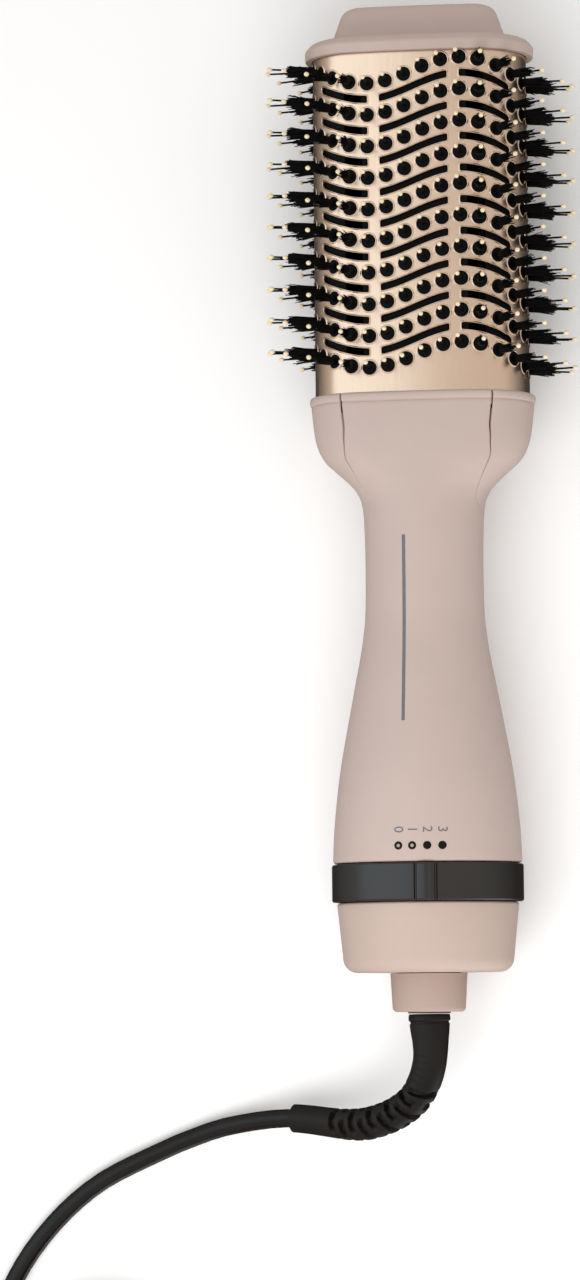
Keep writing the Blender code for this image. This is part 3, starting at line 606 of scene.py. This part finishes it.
def make_plug():
    """A moulded two-pin plug that lies beside the coil."""
    heading = math.radians(20.0)
    entry = Vector((-52.0, -351.0, 8.5))
    ahead = Vector((math.cos(heading), math.sin(heading), 0))
    side, up = Vector((-math.sin(heading), math.cos(heading), 0)), Vector((0, 0, 1))
    form = eased([
        (0, 4.3, 4.3), (7, 4.7, 4.7), (9.5, 7.2, 6.2), (15, 13.8, 8.1), (22, 17.3, 8.5), (37.6, 18.2, 8.5),
        (38.6, 17.7, 8.0), (39, 17.0, 7.3),
    ])
    length = 39
    sections = []
    for distance in spaced(0, length, 78):
        wide, thick = form(distance)
        grip = 0.35 * max(0.0, math.cos(2 * math.pi * distance / 3.0)) if 20 < distance < 33 else 0.0
        section = []
        for angle in full_turn(64):
            x, h = oval_point(wide, thick, angle)
            cut = grip * min(1.0, max(0.0, (abs(x) - wide * 0.55) / 2))
            x -= math.copysign(cut, x)
            section.append((entry + ahead * distance + side * x + up * h) * MM)
        sections.append(section)
    shape = Shape().tube(sections)
    body = piece("plug_moulding", shape, "rubber", ["plug_body"], "lead", sharp=45)
    pins = []
    pin_radius, pin_length, pin_offset = 2.4, 18.4, 9.5
    outline = rounded([(0, 0, 0), (pin_radius, 0, 0), (pin_radius, pin_length, 2.0), (0, pin_length, 0)])
    for word, way in (("left", 1), ("right", -1)):
        sections = []
        for radius, along in outline[1:-1] + [Vector((0.3, pin_length))]:
            centre = entry + ahead * (length + 0.3 + along) + side * (way * pin_offset)
            sections.append([
                (centre + (side * math.sin(t) + up * math.cos(t)) * radius) * MM for t in full_turn(32)
            ])
        shape, old = Shape().tube(sections), [f"plug_pin_{word}"]
        pins.append(piece(f"plug_contact_{word}", shape, "nickel", old, "lead"))
    return [body, *pins]


def make_tie():
    """The strap that holds the coil's turns together."""
    inner, outer, top = 25.3, 46.7, 21.2
    thickness, half_width = 0.7, 4.5
    angle = math.radians(100)
    across = Vector((math.cos(angle), math.sin(angle), 0))
    along = Vector((-math.sin(angle), math.cos(angle), 0))
    base = Vector((*COIL_CENTRE, 0))

    def band(offset):
        corners = [(inner + 8, offset), (outer - offset, offset), (outer - offset, top - offset)]
        corners += [(inner + offset, top - offset), (inner + offset, offset), (inner + 8, offset)]
        return rounded([(x, z, 0 if i in (0, 5) else 3.2 - offset) for i, (x, z) in enumerate(corners)])[:-1]

    outside, inside = band(0.1), band(0.1 + thickness)
    sections = []
    for outline, way in ((outside, -1), (outside, 1), (inside, 1), (inside, -1)):
        edge = base + along * (way * half_width)
        sections.append([(edge + across * r + Vector((0, 0, z))) * MM for r, z in outline])
    return piece("cord_tie", Shape().loop(sections), "nylon", body="lead")


# --- barrel surface


def wave(distance):
    """How far a row is shifted along the barrel at a distance around it."""
    return -WAVE_HEIGHT * math.sin(2 * math.pi * distance / WAVE_LENGTH)


class BarrelSkin:
    """Turns a distance around the barrel from the front's middle, and a station, into a point."""

    def __init__(self):
        self.angles = spaced(0.0, 2 * math.pi, 1440)
        self.along = lengths_along([self.outline(angle) for angle in self.angles])
        self.girth = self.along[-1]

    def outline(self, angle):
        return Vector(oval_point(BARREL_HALF_WIDTH, BARREL_HALF_DEPTH, angle))

    def arc(self, distance):
        """The true length around that a distance in the pattern stands for; the front pitch is exact."""
        quarter, face = self.girth / 4, 3 * COLUMN_PITCH
        pattern_quarter = COLUMN_COUNT * COLUMN_PITCH / 4
        turns, rest = divmod(distance + pattern_quarter, 2 * pattern_quarter)
        rest -= pattern_quarter
        beyond = max(0.0, abs(rest) - face) * (quarter - face) / (pattern_quarter - face)
        return turns * 2 * quarter + math.copysign(min(abs(rest), face) + beyond, rest)

    def angle(self, arc):
        arc %= self.girth
        i = max(1, bisect_left(self.along, arc))
        share = (arc - self.along[i - 1]) / (self.along[i] - self.along[i - 1])
        return self.angles[i - 1] + share * (self.angles[i] - self.angles[i - 1])

    def section(self, arc):
        """(x, h, normal x, normal h) at a true length around."""
        angle, step = self.angle(arc), 0.002
        here = self.outline(angle)
        along = (self.outline(angle + step) - self.outline(angle - step)).normalized()
        return here.x, here.y, -along.y, along.x

    def point(self, arc, station, out):
        x, h, nx, nh = self.section(arc)
        return place(x + nx * out, h + nh * out, station)


SKIN = BarrelSkin()
STEP = COLUMN_PITCH / CELL_STEPS


def all_holes():
    """(column, row, arc, station) of each hole; the column is counted from the front's middle."""
    for column in range(COLUMN_COUNT):
        distance = (column + 0.5) * COLUMN_PITCH
        for row in range(ROW_COUNT):
            station = FIRST_ROW + row * ROW_PITCH + wave(distance)
            yield column, row, SKIN.arc(distance), station


def is_face_column(column):
    """Whether a column is one of the plain-pin ones on the front or the back."""
    return column % 15 in (0, 1, 2, 12, 13, 14)


def rect_loop(first, last, middle, reach, ends):
    """The edge of a patch as (distance, level): along the low side, up the far end, and back."""
    levels = spaced(middle - reach, middle + reach, ends)
    loop = [(i * STEP, levels[0]) for i in range(first, last)]
    loop += [(last * STEP, level) for level in levels[:-1]]
    loop += [(i * STEP, levels[-1]) for i in range(last, first, -1)]
    loop += [(first * STEP, level) for level in levels[:0:-1]]
    return [(SKIN.arc(d), level + wave(d)) for d, level in loop]


def patch(shape, edge, hole_loops):
    """Skins from a patch's edge to its opening, through the wall, and back to the edge inside."""
    loops = [(edge, 0.0), *hole_loops, (edge, -BARREL_WALL)]
    rings = [shape.ring([SKIN.point(arc, station, out) for arc, station in loop]) for loop, out in loops]
    for first, second in zip(rings, rings[1:]):
        shape.skin(first, second)


RIM = (  # (growth of the opening, height over the wall), from the wall to the inside
    (0.74, 0.0), (0.66, 0.0), (0.48, 0.16), (0.28, 0.24), (0.08, 0.16), (0.0, -0.08), (0.0, -BARREL_WALL),
)


def add_hole(shape, column, row, arc, station):
    first, last = column * CELL_STEPS, (column + 1) * CELL_STEPS
    edge = rect_loop(first, last, FIRST_ROW + row * ROW_PITCH, CELL_REACH, CELL_STEPS)
    angles = [math.radians(225) + angle for angle in full_turn(len(edge))]
    loops = []
    for grow, out in RIM:
        radius = HOLE_RADIUS + grow
        loops.append(([(arc + radius * math.cos(a), station + radius * math.sin(a)) for a in angles], out))
    patch(shape, edge, loops)


def slot_end(half, radius):
    """Seven points round a slot's end, as (distance past the end, level)."""
    if radius >= half:
        angles = [math.radians(-90 + 30 * i) for i in range(7)]
        return [(half * (math.cos(a) - 1), half * math.sin(a)) for a in angles]
    soft = radius * (1 - math.sqrt(0.5))
    low = [(-radius, -half), (-soft, -half + soft), (0.0, -half + radius)]
    return low + [(0.0, 0.0)] + [(x, -y) for x, y in low[::-1]]


def add_slot(shape, first, last, middle, reach):
    """A slot between two steps around, with round outer ends and squarer ones beside the middle."""
    edge = rect_loop(first - 1, last + 1, middle, reach, CELL_STEPS)
    from_middle = [abs((i + 45) % 90 - 45) for i in (first, last)]  # steps from the front's or the back's
    loops = []
    for grow, out in RIM:
        half = SLOT_HALF + grow * 0.8
        radii = [half if i > 30 else 0.5 + grow * 0.4 for i in from_middle]
        start, end = first * STEP - grow * 0.8, last * STEP + grow * 0.8
        tail = [(end + x, y) for x, y in slot_end(half, radii[1])]
        head = [(start - x, -y) for x, y in slot_end(half, radii[0])]
        span = last - first + 2
        low_side = [(x, -half) for x in spaced(head[-1][0], tail[0][0], span)]
        high_side = [(x, half) for x in spaced(tail[-1][0], head[0][0], span)]
        loop = low_side[:-1] + tail[:-1] + high_side[:-1] + head[:-1]
        loops.append(([(SKIN.arc(d), middle + level + wave(d)) for d, level in loop], out))
    patch(shape, edge, loops)


def add_band(shape, first, last, low, high, rows):
    """A plain stretch of wall between two lines, each (station, 1 for a wavy one or 0)."""
    distances = [step * STEP for step in range(first, last + 1)]
    sides = []
    for out in (0.0, -BARREL_WALL):
        rings = []
        for i in range(rows + 1):
            ring = []
            for d in distances:
                start, end = (station + wavy * wave(d) for station, wavy in (low, high))
                ring.append(SKIN.point(SKIN.arc(d), start + (end - start) * i / rows, out))
            rings.append(shape.ring(ring))
        for ring, following in zip(rings, rings[1:]):
            shape.skin(ring, following, closed=False)
        sides.append(rings)
    return sides


def make_barrel():
    """The metal tube with its wavy rows of holes and slots, each with a rolled rim."""
    shape = Shape()
    total = COLUMN_COUNT * CELL_STEPS
    for column, row, arc, station in all_holes():
        add_hole(shape, column, row, arc, station)
    back_slots = tuple((total // 2 - b, total // 2 - a) for a, b in FRONT_SLOTS)
    slots = sorted((a % total, a % total + b - a) for a, b in FRONT_SLOTS + back_slots)
    reach = ROW_PITCH / 2 - CELL_REACH
    for row in range(ROW_COUNT - 1):
        middle = FIRST_ROW + (row + 0.5) * ROW_PITCH
        for i, (first, last) in enumerate(slots):
            add_slot(shape, first, last, middle, reach)
            following = slots[(i + 1) % len(slots)][0] + (total if i == len(slots) - 1 else 0)
            if following - 1 > last + 1:
                low, high = (middle - reach, 1), (middle + reach, 1)
                add_band(shape, last + 1, following - 1, low, high, CELL_STEPS)
    top_edge = FIRST_ROW - CELL_REACH
    end_edge = FIRST_ROW + (ROW_COUNT - 1) * ROW_PITCH + CELL_REACH
    a, b = add_band(shape, 0, total, (BARREL_TOP, 0), (top_edge, 1), 6)
    shape.skin(a[0], b[0], closed=False)
    a, b = add_band(shape, 0, total, (end_edge, 1), (BARREL_END, 0), 8)
    shape.skin(a[-1], b[-1], closed=False)
    piece("barrel_tube", shape, "metal", ["barrel"], sharp=62, weld=True)


# --- bristles


def hole_frame(column, arc, station, chance):
    """Where a hole's pin stands: its foot, its direction, two directions across it, and its length."""
    x, h, nx, nh = SKIN.section(arc)
    foot = place(x - nx * 0.45, h - nh * 0.45, station)
    if is_face_column(column):
        way = Vector((0, 0, math.copysign(1, h)))
        length = (PIN_TIP_REACH - abs(h) + 0.45) * MM
    else:
        way = Vector((nx, 0, nh))
        flat_side = Vector((math.copysign(FLAT, x), 0))
        spread = Vector((x, h)) - flat_side
        sideways = abs(spread.x) / spread.length
        reach = PIN_TIP_REACH + (SIDE_TIP_REACH - PIN_TIP_REACH) * sideways**2
        length = (reach - spread.length + 0.45) * MM
    lean = Vector((chance.gauss(0, 0.012), chance.gauss(0, 0.02), chance.gauss(0, 0.012)))
    way = (way + lean).normalized()
    across = way.cross(Vector((0, 1, 0))).normalized()
    return foot, way, across, way.cross(across), length


def round_ring(centre, first, second, radius, count):
    return [centre + (first * math.cos(a) + second * math.sin(a)) * radius for a in full_turn(count)]


def add_plug(shape, foot, normal, first, second):
    """The round nylon foot that fills a hole, with a small collar round its pin."""
    profile = (  # (radius, height over the foot)
        (2.3, -1.2), (2.37, 0.3), (2.3, 0.42), (2.05, 0.5), (1.2, 0.56), (0.8, 0.62), (0.62, 0.85),
        (0.5, 1.0),
    )
    shape.tube([round_ring(foot + normal * (z * MM), first, second, r * MM, 20) for r, z in profile])


def add_pin(shape, foot, way, first, second, length):
    sections = []
    for share, radius in ((0.0, 0.5), (0.12, 0.4), (0.5, 0.36), (1.0, 0.32)):
        centre = foot + way * (length - 0.9 * MM) * share
        sections.append(round_ring(centre, first, second, radius * MM, 8))
    shape.tube(sections)


def add_ball(shape, foot, way, first, second, length):
    """The rounded tip, a little longer than wide."""
    radius, tall = 0.82 * MM, 0.98 * MM
    centre = foot + way * (length - tall)
    sections = []
    for i in range(1, 8):
        angle = math.pi * i / 8
        middle = centre - way * (math.cos(angle) * tall)
        sections.append(round_ring(middle, first, second, math.sin(angle) * radius, 12))
    shape.tube(sections)


def add_tuft(shape, foot, way, first, second, chance):
    """A bundle of stiff filaments that fans out a little and ends raggedly."""
    filaments, base_radius, fan = 46, 1.25 * MM, 1.55 * MM
    core = ((0, 1.4), (3.0, 1.45), (6.0, 1.35), (7.8, 0.8))
    shape.tube([round_ring(foot + way * (z * MM), first, second, r * MM, 8) for z, r in core])
    for i in range(filaments):
        share = math.sqrt((i + 0.5) / filaments)
        angle = i * 2.39996 + chance.uniform(-0.2, 0.2)
        across = first * math.cos(angle) + second * math.sin(angle)
        low = foot + across * (share * base_radius)
        reach = chance.uniform(7.6, 10.4) * MM
        if chance.random() < 0.15:
            reach += chance.uniform(0.5, 1.8) * MM
        spread = share * fan + chance.uniform(-0.2, 0.4) * MM
        sway = first * chance.gauss(0, 0.3 * MM) + second * chance.gauss(0, 0.3 * MM)
        thick = chance.uniform(0.17, 0.24) * MM
        middle = low + way * (reach * 0.5) + across * (spread - share * base_radius) * 0.35
        tip = foot + way * reach + across * spread + sway
        ends = ((low, thick), (middle, thick), (tip, thick * 0.6))
        shape.tube([round_ring(centre, first, second, radius, 4) for centre, radius in ends])


def add_strip(shape, side):
    """The plate inside a face that its plain pins grow from."""
    wide, top, end = 18.4, BARREL_TOP + 3, FIRST_ROW + (ROW_COUNT - 1) * ROW_PITCH + 8
    high = side * (BARREL_HALF_DEPTH - BARREL_WALL - 0.6)
    outline = rounded([
        (0, top, 0), (wide, top, 1.5), (wide, end, 1.5), (-wide, end, 1.5), (-wide, top, 1.5), (0, top, 0),
    ])[:-1]
    shape.tube([[place(x, high - side * thick, s) for x, s in outline] for thick in (0.0, 1.5)])


def make_bristles():
    """Plain pins on the two faces, and tufts with a longer pin in each on the two sides."""
    chance = random.Random(SEED)
    groups = {name: [Shape() for _ in range(4)] for name in ("front", "rear", "left", "right")}
    for column, _, arc, station in all_holes():
        foot, way, first, second, length = hole_frame(column, arc, station, chance)
        x, h, nx, nh = SKIN.section(arc)
        if is_face_column(column):
            group = "front" if h > 0 else "rear"
        else:
            group = "right" if x > 0 else "left"
        plugs, pins, tips, tufts = groups[group]
        normal = Vector((nx, 0, nh))
        flat = normal.cross(Vector((0, 1, 0)))
        add_plug(plugs, foot, normal, flat, Vector((0, 1, 0)))
        add_pin(pins, foot, way, first, second, length)
        add_ball(tips, foot, way, first, second, length)
        if not is_face_column(column):
            add_tuft(tufts, foot, way, first, second, chance)
    for name, (plugs, pins, tips, tufts) in groups.items():
        on_face = name in ("front", "rear")
        stands_for = f"{name}_pin_strip" if on_face else f"{name}_bristle_field"
        if on_face:
            add_strip(plugs, 1 if name == "front" else -1)
        piece(f"{name}_bristle_feet", plugs, "plug", [stands_for])
        piece(f"{name}_pins", pins, "nylon", sharp=60)
        piece(f"{name}_pin_tips", tips, "tip", sharp=80)
        if not on_face:
            piece(f"{name}_tufts", tufts, "nylon", sharp=100)


# --- cap and handle


def make_end_cap():
    """A raised plateau over a rounded rim."""
    outside = rounded([
        (17.5, 0.0, 0), (20.5, 0.1, 20), (26.8, 0.9, 4.4), (30.9, 12.4, 0.4), (38.4, 13.4, 3.0),
        (40.5, 15.8, 2.2), (40.3, 19.3, 0.45), (38.2, 19.3, 0),
    ], math.radians(8))
    inside = [Vector(p) for p in ((38.1, 18.9), (38.1, 15.6), (29.0, 15.4), (26.2, 4.0), (18.2, 3.0))]
    shape = Shape().tube([oval(a, a - FLAT, s, 160) for a, s in outside + inside])
    # The cap's colour is painted light: the handle's plastic, made lighter and warmer.
    piece("cap_shell", shape, "cap_painted_light", ["end_cap"], sharp=35)


HANDLE_FORM = eased([
    # (station, half width, half depth)
    (142.0, 39.3, 22.2), (148.0, 38.7, 22.1), (153.5, 37.9, 22.0), (158.0, 36.5, 21.9), (161.5, 34.4, 21.8),
    (165.0, 30.7, 21.6), (168.5, 26.8, 21.5), (172.0, 23.7, 21.3), (176.5, 21.7, 21.15), (183.0, 21.0, 20.95),
    (200.5, 20.65, 20.65), (214.0, 20.85, 20.85), (224.4, 21.85, 21.85), (240.2, 24.7, 24.7),
    (256.0, 27.7, 27.7), (271.8, 30.45, 30.45), (284.0, 31.9, 31.9), (294.0, 32.75, 32.75),
    (HANDLE_END, 33.05, 33.05),
])
LIP_FORM = [
    # (station, growth over the handle's size at 142)
    (139.35, -0.75), (139.08, -0.5), (139.0, -0.15), (139.12, 0.12), (139.45, 0.36), (139.95, 0.48),
    (140.6, 0.5), (141.2, 0.42), (141.65, 0.24), (141.85, 0.02), (141.95, -0.22), (142.15, -0.26),
    (142.35, -0.12),
]


def handle_rows():
    """(station, half width, half depth) down the handle, closer together where it curves most."""
    a0, b0 = HANDLE_FORM(142.0)
    rows = [(s, a0 + g, b0 + g) for s, g in LIP_FORM]
    stations = [142.7 + 0.9 * i for i in range(38)]
    stations += [177.0, 177.6, 178.1, 178.6, 179.0, 179.35, 179.7, 179.9]  # round the tongue's tip
    stations += [TONGUE_TIP + 2.4 * i for i in range(51)]
    for station in sorted(s for s in stations if s < HANDLE_END - 1):
        rows.append((station, *HANDLE_FORM(station)))
    a1, b1 = HANDLE_FORM(HANDLE_END)
    for back, dip in ((1.2, 0.0), (0.6, 0.1), (0.25, 0.3), (0.05, 0.62), (0.0, 0.9)):
        rows.append((HANDLE_END - back, a1 - dip, b1 - dip))
    return rows


TONGUE_FORM = eased([
    # (station, half of the side insert's depth)
    (130.0, 20.0), (150.0, 19.8), (157.0, 19.1), (160.0, 18.2), (162.3, 17.2), (165.0, 15.8), (167.2, 14.4),
    (169.8, 12.6), (172.2, 11.3), (175.5, 9.9), (177.5, 8.2), (179.0, 4.9), (179.7, 2.4), (TONGUE_TIP, 0.0),
])


def seam_height(station, margin):
    """How far in front of the axis the seam runs at a station; the parting line below the tongue."""
    if station >= TONGUE_TIP:
        return SEAM / 2
    return max(SEAM / 2, TONGUE_FORM(station)[0] + margin)


def seam_angle(station, margin):
    """The seam's angle from the front; it runs straight through the lip."""
    half_depth = HANDLE_FORM(max(station, 142.0))[1]
    return math.acos(min(1.0, seam_height(station, margin) / half_depth))


SEAM_EDGE = ((0.0, 0.4), (0.04, 0.18), (0.14, 0.05), (0.35, 0.0))  # (distance from the seam, dip)


def wall_points(row, angles_and_dips):
    """A row of outer points and the matching inner ones."""
    station, a, b = row
    deep_a, deep_b = a - WALL, b - WALL
    if station < SOCKET_END:
        deep_a, deep_b = BARREL_HALF_WIDTH + BARREL_GAP, BARREL_HALF_DEPTH + BARREL_GAP
    outer = [place(*oval_point(a - dip, b - dip, angle), station) for angle, dip in angles_and_dips]
    inner = [place(*oval_point(deep_a, deep_b, angle), station) for angle, dip in angles_and_dips]
    return outer, inner


def seam_columns(half_depth, start, end, count):
    """Angles between two seams, with the edges' rounding at both."""
    per_mm = 1.0 / max(half_depth, 1.0)
    low = [(start + d * per_mm, dip) for d, dip in SEAM_EDGE]
    high = [(end - d * per_mm, dip) for d, dip in SEAM_EDGE[::-1]]
    return low + [(angle, 0.0) for angle in spaced(low[-1][0], high[0][0], count)[1:-1]] + high


def make_handle():
    """Front and rear shells, and a tongue-shaped insert on each side of the neck."""
    quarter = math.pi / 2
    for name, middle in (("front", 0.0), ("rear", math.pi), ("right", quarter), ("left", -quarter)):
        is_shell = name in ("front", "rear")
        margin, count = (SEAM / 2, 64) if is_shell else (-SEAM / 2, 36)
        outer, inner = [], []
        for row in handle_rows():
            station, half_depth = row[0], row[2]
            if not is_shell and seam_height(station, margin) <= SEAM:
                break
            reach = seam_angle(station, margin) if is_shell else quarter - seam_angle(station, margin)
            near, deep = wall_points(row, seam_columns(half_depth, middle - reach, middle + reach, count))
            outer.append(near)
            inner.append(deep)
        new, old = ("handle_", "_shell") if is_shell else ("neck_insert_", "_neck_insert")
        shape = Shape().thick_grid(outer, inner)
        piece(new + name, shape, "rose", [name + old], sharp=50)


def make_ring():
    """The selector ring, with a faceted ridge between two grooves as its pointer."""
    ridge = (  # (distance round from the ridge's middle, rise)
        (-4.1, 0.0), (-3.75, -0.55), (-3.3, -0.6), (-3.0, 0.3), (-0.5, 0.9), (0.5, 0.82), (1.1, 0.6),
        (1.5, 0.66), (3.0, 0.3), (3.3, -0.6), (3.75, -0.55), (4.1, 0.0),
    )
    angles = [(RIDGE_ANGLE + d / RING_RADIUS, rise) for d, rise in ridge]
    angles += [(t, 0.0) for t in spaced(angles[-1][0], angles[0][0] + 2 * math.pi, 150)[1:-1]]
    depth, length = 3.0, RING_END - RING_TOP
    sections = []
    for drop, along in rounded([(-depth, 0.0, 0), (0.0, 0.0, 0.7), (0.0, length, 0.7), (-depth, length, 0)]):
        share = 1 + drop / depth
        sections.append([polar(RING_RADIUS + drop + rise * share, t, RING_TOP + along) for t, rise in angles])
    for station in (RING_END, RING_TOP):
        sections.append([polar(RING_BORE, t, station) for t, rise in angles])
    shape = Shape().loop(sections)
    piece("mode_ring", shape, "ring", ["selector_ring"], "selector", sharp=22)


def make_base():
    """The base cap: a tapered cup whose underside has a ring of air-intake slots."""
    slots, between, slot_half = 16, 7, 1.1
    slot_in, slot_out, inner_edge = 15.6, 24.2, 11.6
    wall, inner_radius = 2.0, 27.6
    radii = [tuple(p) for p in rounded([
        (30.7, 316.4, 0), (31.8, 316.4, 0.9), (30.0, 334.4, 40), (29.4, BASE_END, 5.0), (24.9, BASE_END, 0),
    ])]
    first_slot_row = len(radii)
    radii += [(r, BASE_END) for r in (slot_out, 22.0, 19.8, 17.6, slot_in, 13.6, inner_edge + 0.4)]
    radii.append((inner_edge, BASE_END - 0.4))
    last_slot_row = radii.index((slot_in, BASE_END))
    outer, inner = [], []
    for radius, station in radii:
        deep = radius - wall if station < BASE_END - 6 else min(radius, inner_radius)
        deep_station = min(station, BASE_END - wall)
        if radius <= inner_edge + 0.4:
            deep = inner_edge
        angles = []
        for i in range(slots):
            middle = 2 * math.pi * (i + 0.5) / slots
            half = math.asin(slot_half / max(slot_in, min(slot_out, radius)))
            gap = 2 * math.pi / slots - 2 * half
            angles += [middle - half] + [middle + half + gap * k / between for k in range(between)]
        outer.append([polar(radius, t, station) for t in angles])
        inner.append([polar(deep, t, deep_station) for t in angles])

    def gone(i, j):
        return first_slot_row <= i < last_slot_row and j % (between + 1) == 0

    shape = Shape().thick_grid(outer, inner, closed=True, gone=gone)
    spigot = rounded([
        (29.4, 318.6, 0), (27.9, 318.6, 0), (27.9, 292.0, 0.4), (25.9, 292.0, 0.4), (25.9, 320.6, 0),
        (29.4, 320.6, 0),
    ])
    shape.loop([circle(r, s) for r, s in spigot])
    piece("base_cup", shape, "blush", ["base_cap"], sharp=38)
    boss = rounded([
        (11.2, 340.9, 0), (13.45, 340.9, 0.2), (12.75, 353.6, 1.6), (11.6, BODY_END, 0.5),
        (7.95, BODY_END, 0.3), (7.95, 348.0, 0), (7.95, 331.0, 0), (11.2, 331.0, 0), (11.2, 340.6, 0),
        (11.2, 340.9, 0),
    ])
    shape = Shape().loop([circle(r, s, 96) for r, s in boss[1:]])
    piece("cord_collar", shape, "collar", ["cord_boss"], sharp=38)


# --- marks on the handle


def on_handle(x, station, out):
    """A point on the handle's front, a little above its surface."""
    a, b = HANDLE_FORM(station)
    angle = math.asin(max(-1.0, min(1.0, x / a)))
    return place(*oval_point(a + out, b + out, angle), station)


def make_stripe():
    """The long printed line down the handle."""
    top, end, left, width = 189.0, 254.0, -5.55, 1.15
    rows, across = spaced(top, end, 40), spaced(left, left + width, 4)
    outer = [[on_handle(x, s, 0.05) for x in across] for s in rows]
    inner = [[on_handle(x, s, -0.1) for x in across] for s in rows]
    piece("handle_stripe", Shape().thick_grid(outer, inner), "print")


DOT_STATION = 297.3
DOT_PLACES = (-6.46, -1.63, 3.55, 8.71)


def dome(x, station, profile, count):
    """A small round button on the handle, from (radius, height over the surface)."""
    return [
        [on_handle(x + radius * math.cos(a), station + radius * math.sin(a), out) for a in full_turn(count)]
        for radius, out in profile
    ]


def make_dots():
    """Four position dots: two with a light lens, two all dark."""
    for i, x in enumerate(DOT_PLACES):
        open_centre = i < 2
        profile = [(1.4, -0.2), (1.42, 0.06), (1.32, 0.15), (1.1, 0.19)]
        profile += [(0.66, 0.18), (0.58, 0.08)] if open_centre else [(0.6, 0.22), (0.2, 0.23)]
        shape = Shape().tube(dome(x, DOT_STATION, profile, 32))
        piece(f"position_dot_{i}", shape, "dot")
        if open_centre:
            lens = [(0.6, 0.0), (0.58, 0.12), (0.35, 0.2), (0.1, 0.22)]
            piece(f"position_lens_{i}", Shape().tube(dome(x, DOT_STATION, lens, 20)), "lens")


def make_numerals():
    """Printed 0 to 3 beside the dots, turned to read along the handle."""
    height, station = 3.7, 291.8
    for i, x in enumerate(DOT_PLACES):
        text = bpy.data.curves.new(f"numeral_{i}", "FONT")
        text.body = str(i)
        text.size = height * 1.4
        text.align_x, text.align_y = "CENTER", "CENTER"
        text.resolution_u = 6
        maker = bpy.data.objects.new(f"numeral_maker_{i}", text)
        bpy.context.scene.collection.objects.link(maker)
        bpy.context.view_layer.update()
        flat = bpy.data.meshes.new_from_object(maker.evaluated_get(bpy.context.evaluated_depsgraph_get()))
        bpy.data.objects.remove(maker)
        bm = bmesh.new()
        bm.from_mesh(flat)
        bmesh.ops.remove_doubles(bm, verts=bm.verts, dist=0.001)
        bmesh.ops.dissolve_degenerate(bm, edges=bm.edges, dist=0.0005)
        top = bmesh.ops.extrude_face_region(bm, geom=bm.faces[:])
        raised = {v for v in top["geom"] if isinstance(v, bmesh.types.BMVert)}
        for vert in bm.verts:
            out = 0.05 if vert in raised else -0.1
            vert.co = on_handle(x + vert.co.y * 0.9, station + vert.co.x * 0.9, out)
        shape = Shape()
        shape.points = [v.co.copy() for v in bm.verts]
        index = {v: k for k, v in enumerate(bm.verts)}
        shape.faces = [tuple(index[v] for v in face.verts) for face in bm.faces]
        bm.free()
        piece(f"position_numeral_{i}", shape, "print", sharp=30)


# --- pieces taken over from the frame

CARRIED = {
    "black": "head_frame motor_mount ring_driver mode_switch swivel_ferrule",
    "mica": "heater_shroud heater_board_a heater_board_b",
    "wire": "heating_coil",
    "ceramic": "thermostat heater_base switch_slider",
    "steel": "thermal_fuse motor motor_screw_left motor_screw_right motor_shaft detent_spring",
    "nylon": "left_tuft_strip right_tuft_strip",
    "grey": "fan_impeller",
    "board": "control_board",
    "weave": "intake_filter",
    "rubber": "heater_lead_left heater_lead_right supply_lead_left supply_lead_right",
}


def dress_carried():
    for look, names in CARRIED.items():
        for name in names.split():
            mesh = frame["nodes"][name].data
            mesh.materials.clear()
            mesh.materials.append(FINISHES[look])


make_camera()
relief = make_relief()
make_cord([relief, *make_plug(), make_tie()])
make_light()
make_floor()
make_barrel()
make_bristles()
make_end_cap()
make_handle()
make_ring()
make_base()
make_stripe()
make_dots()
make_numerals()
dress_carried()
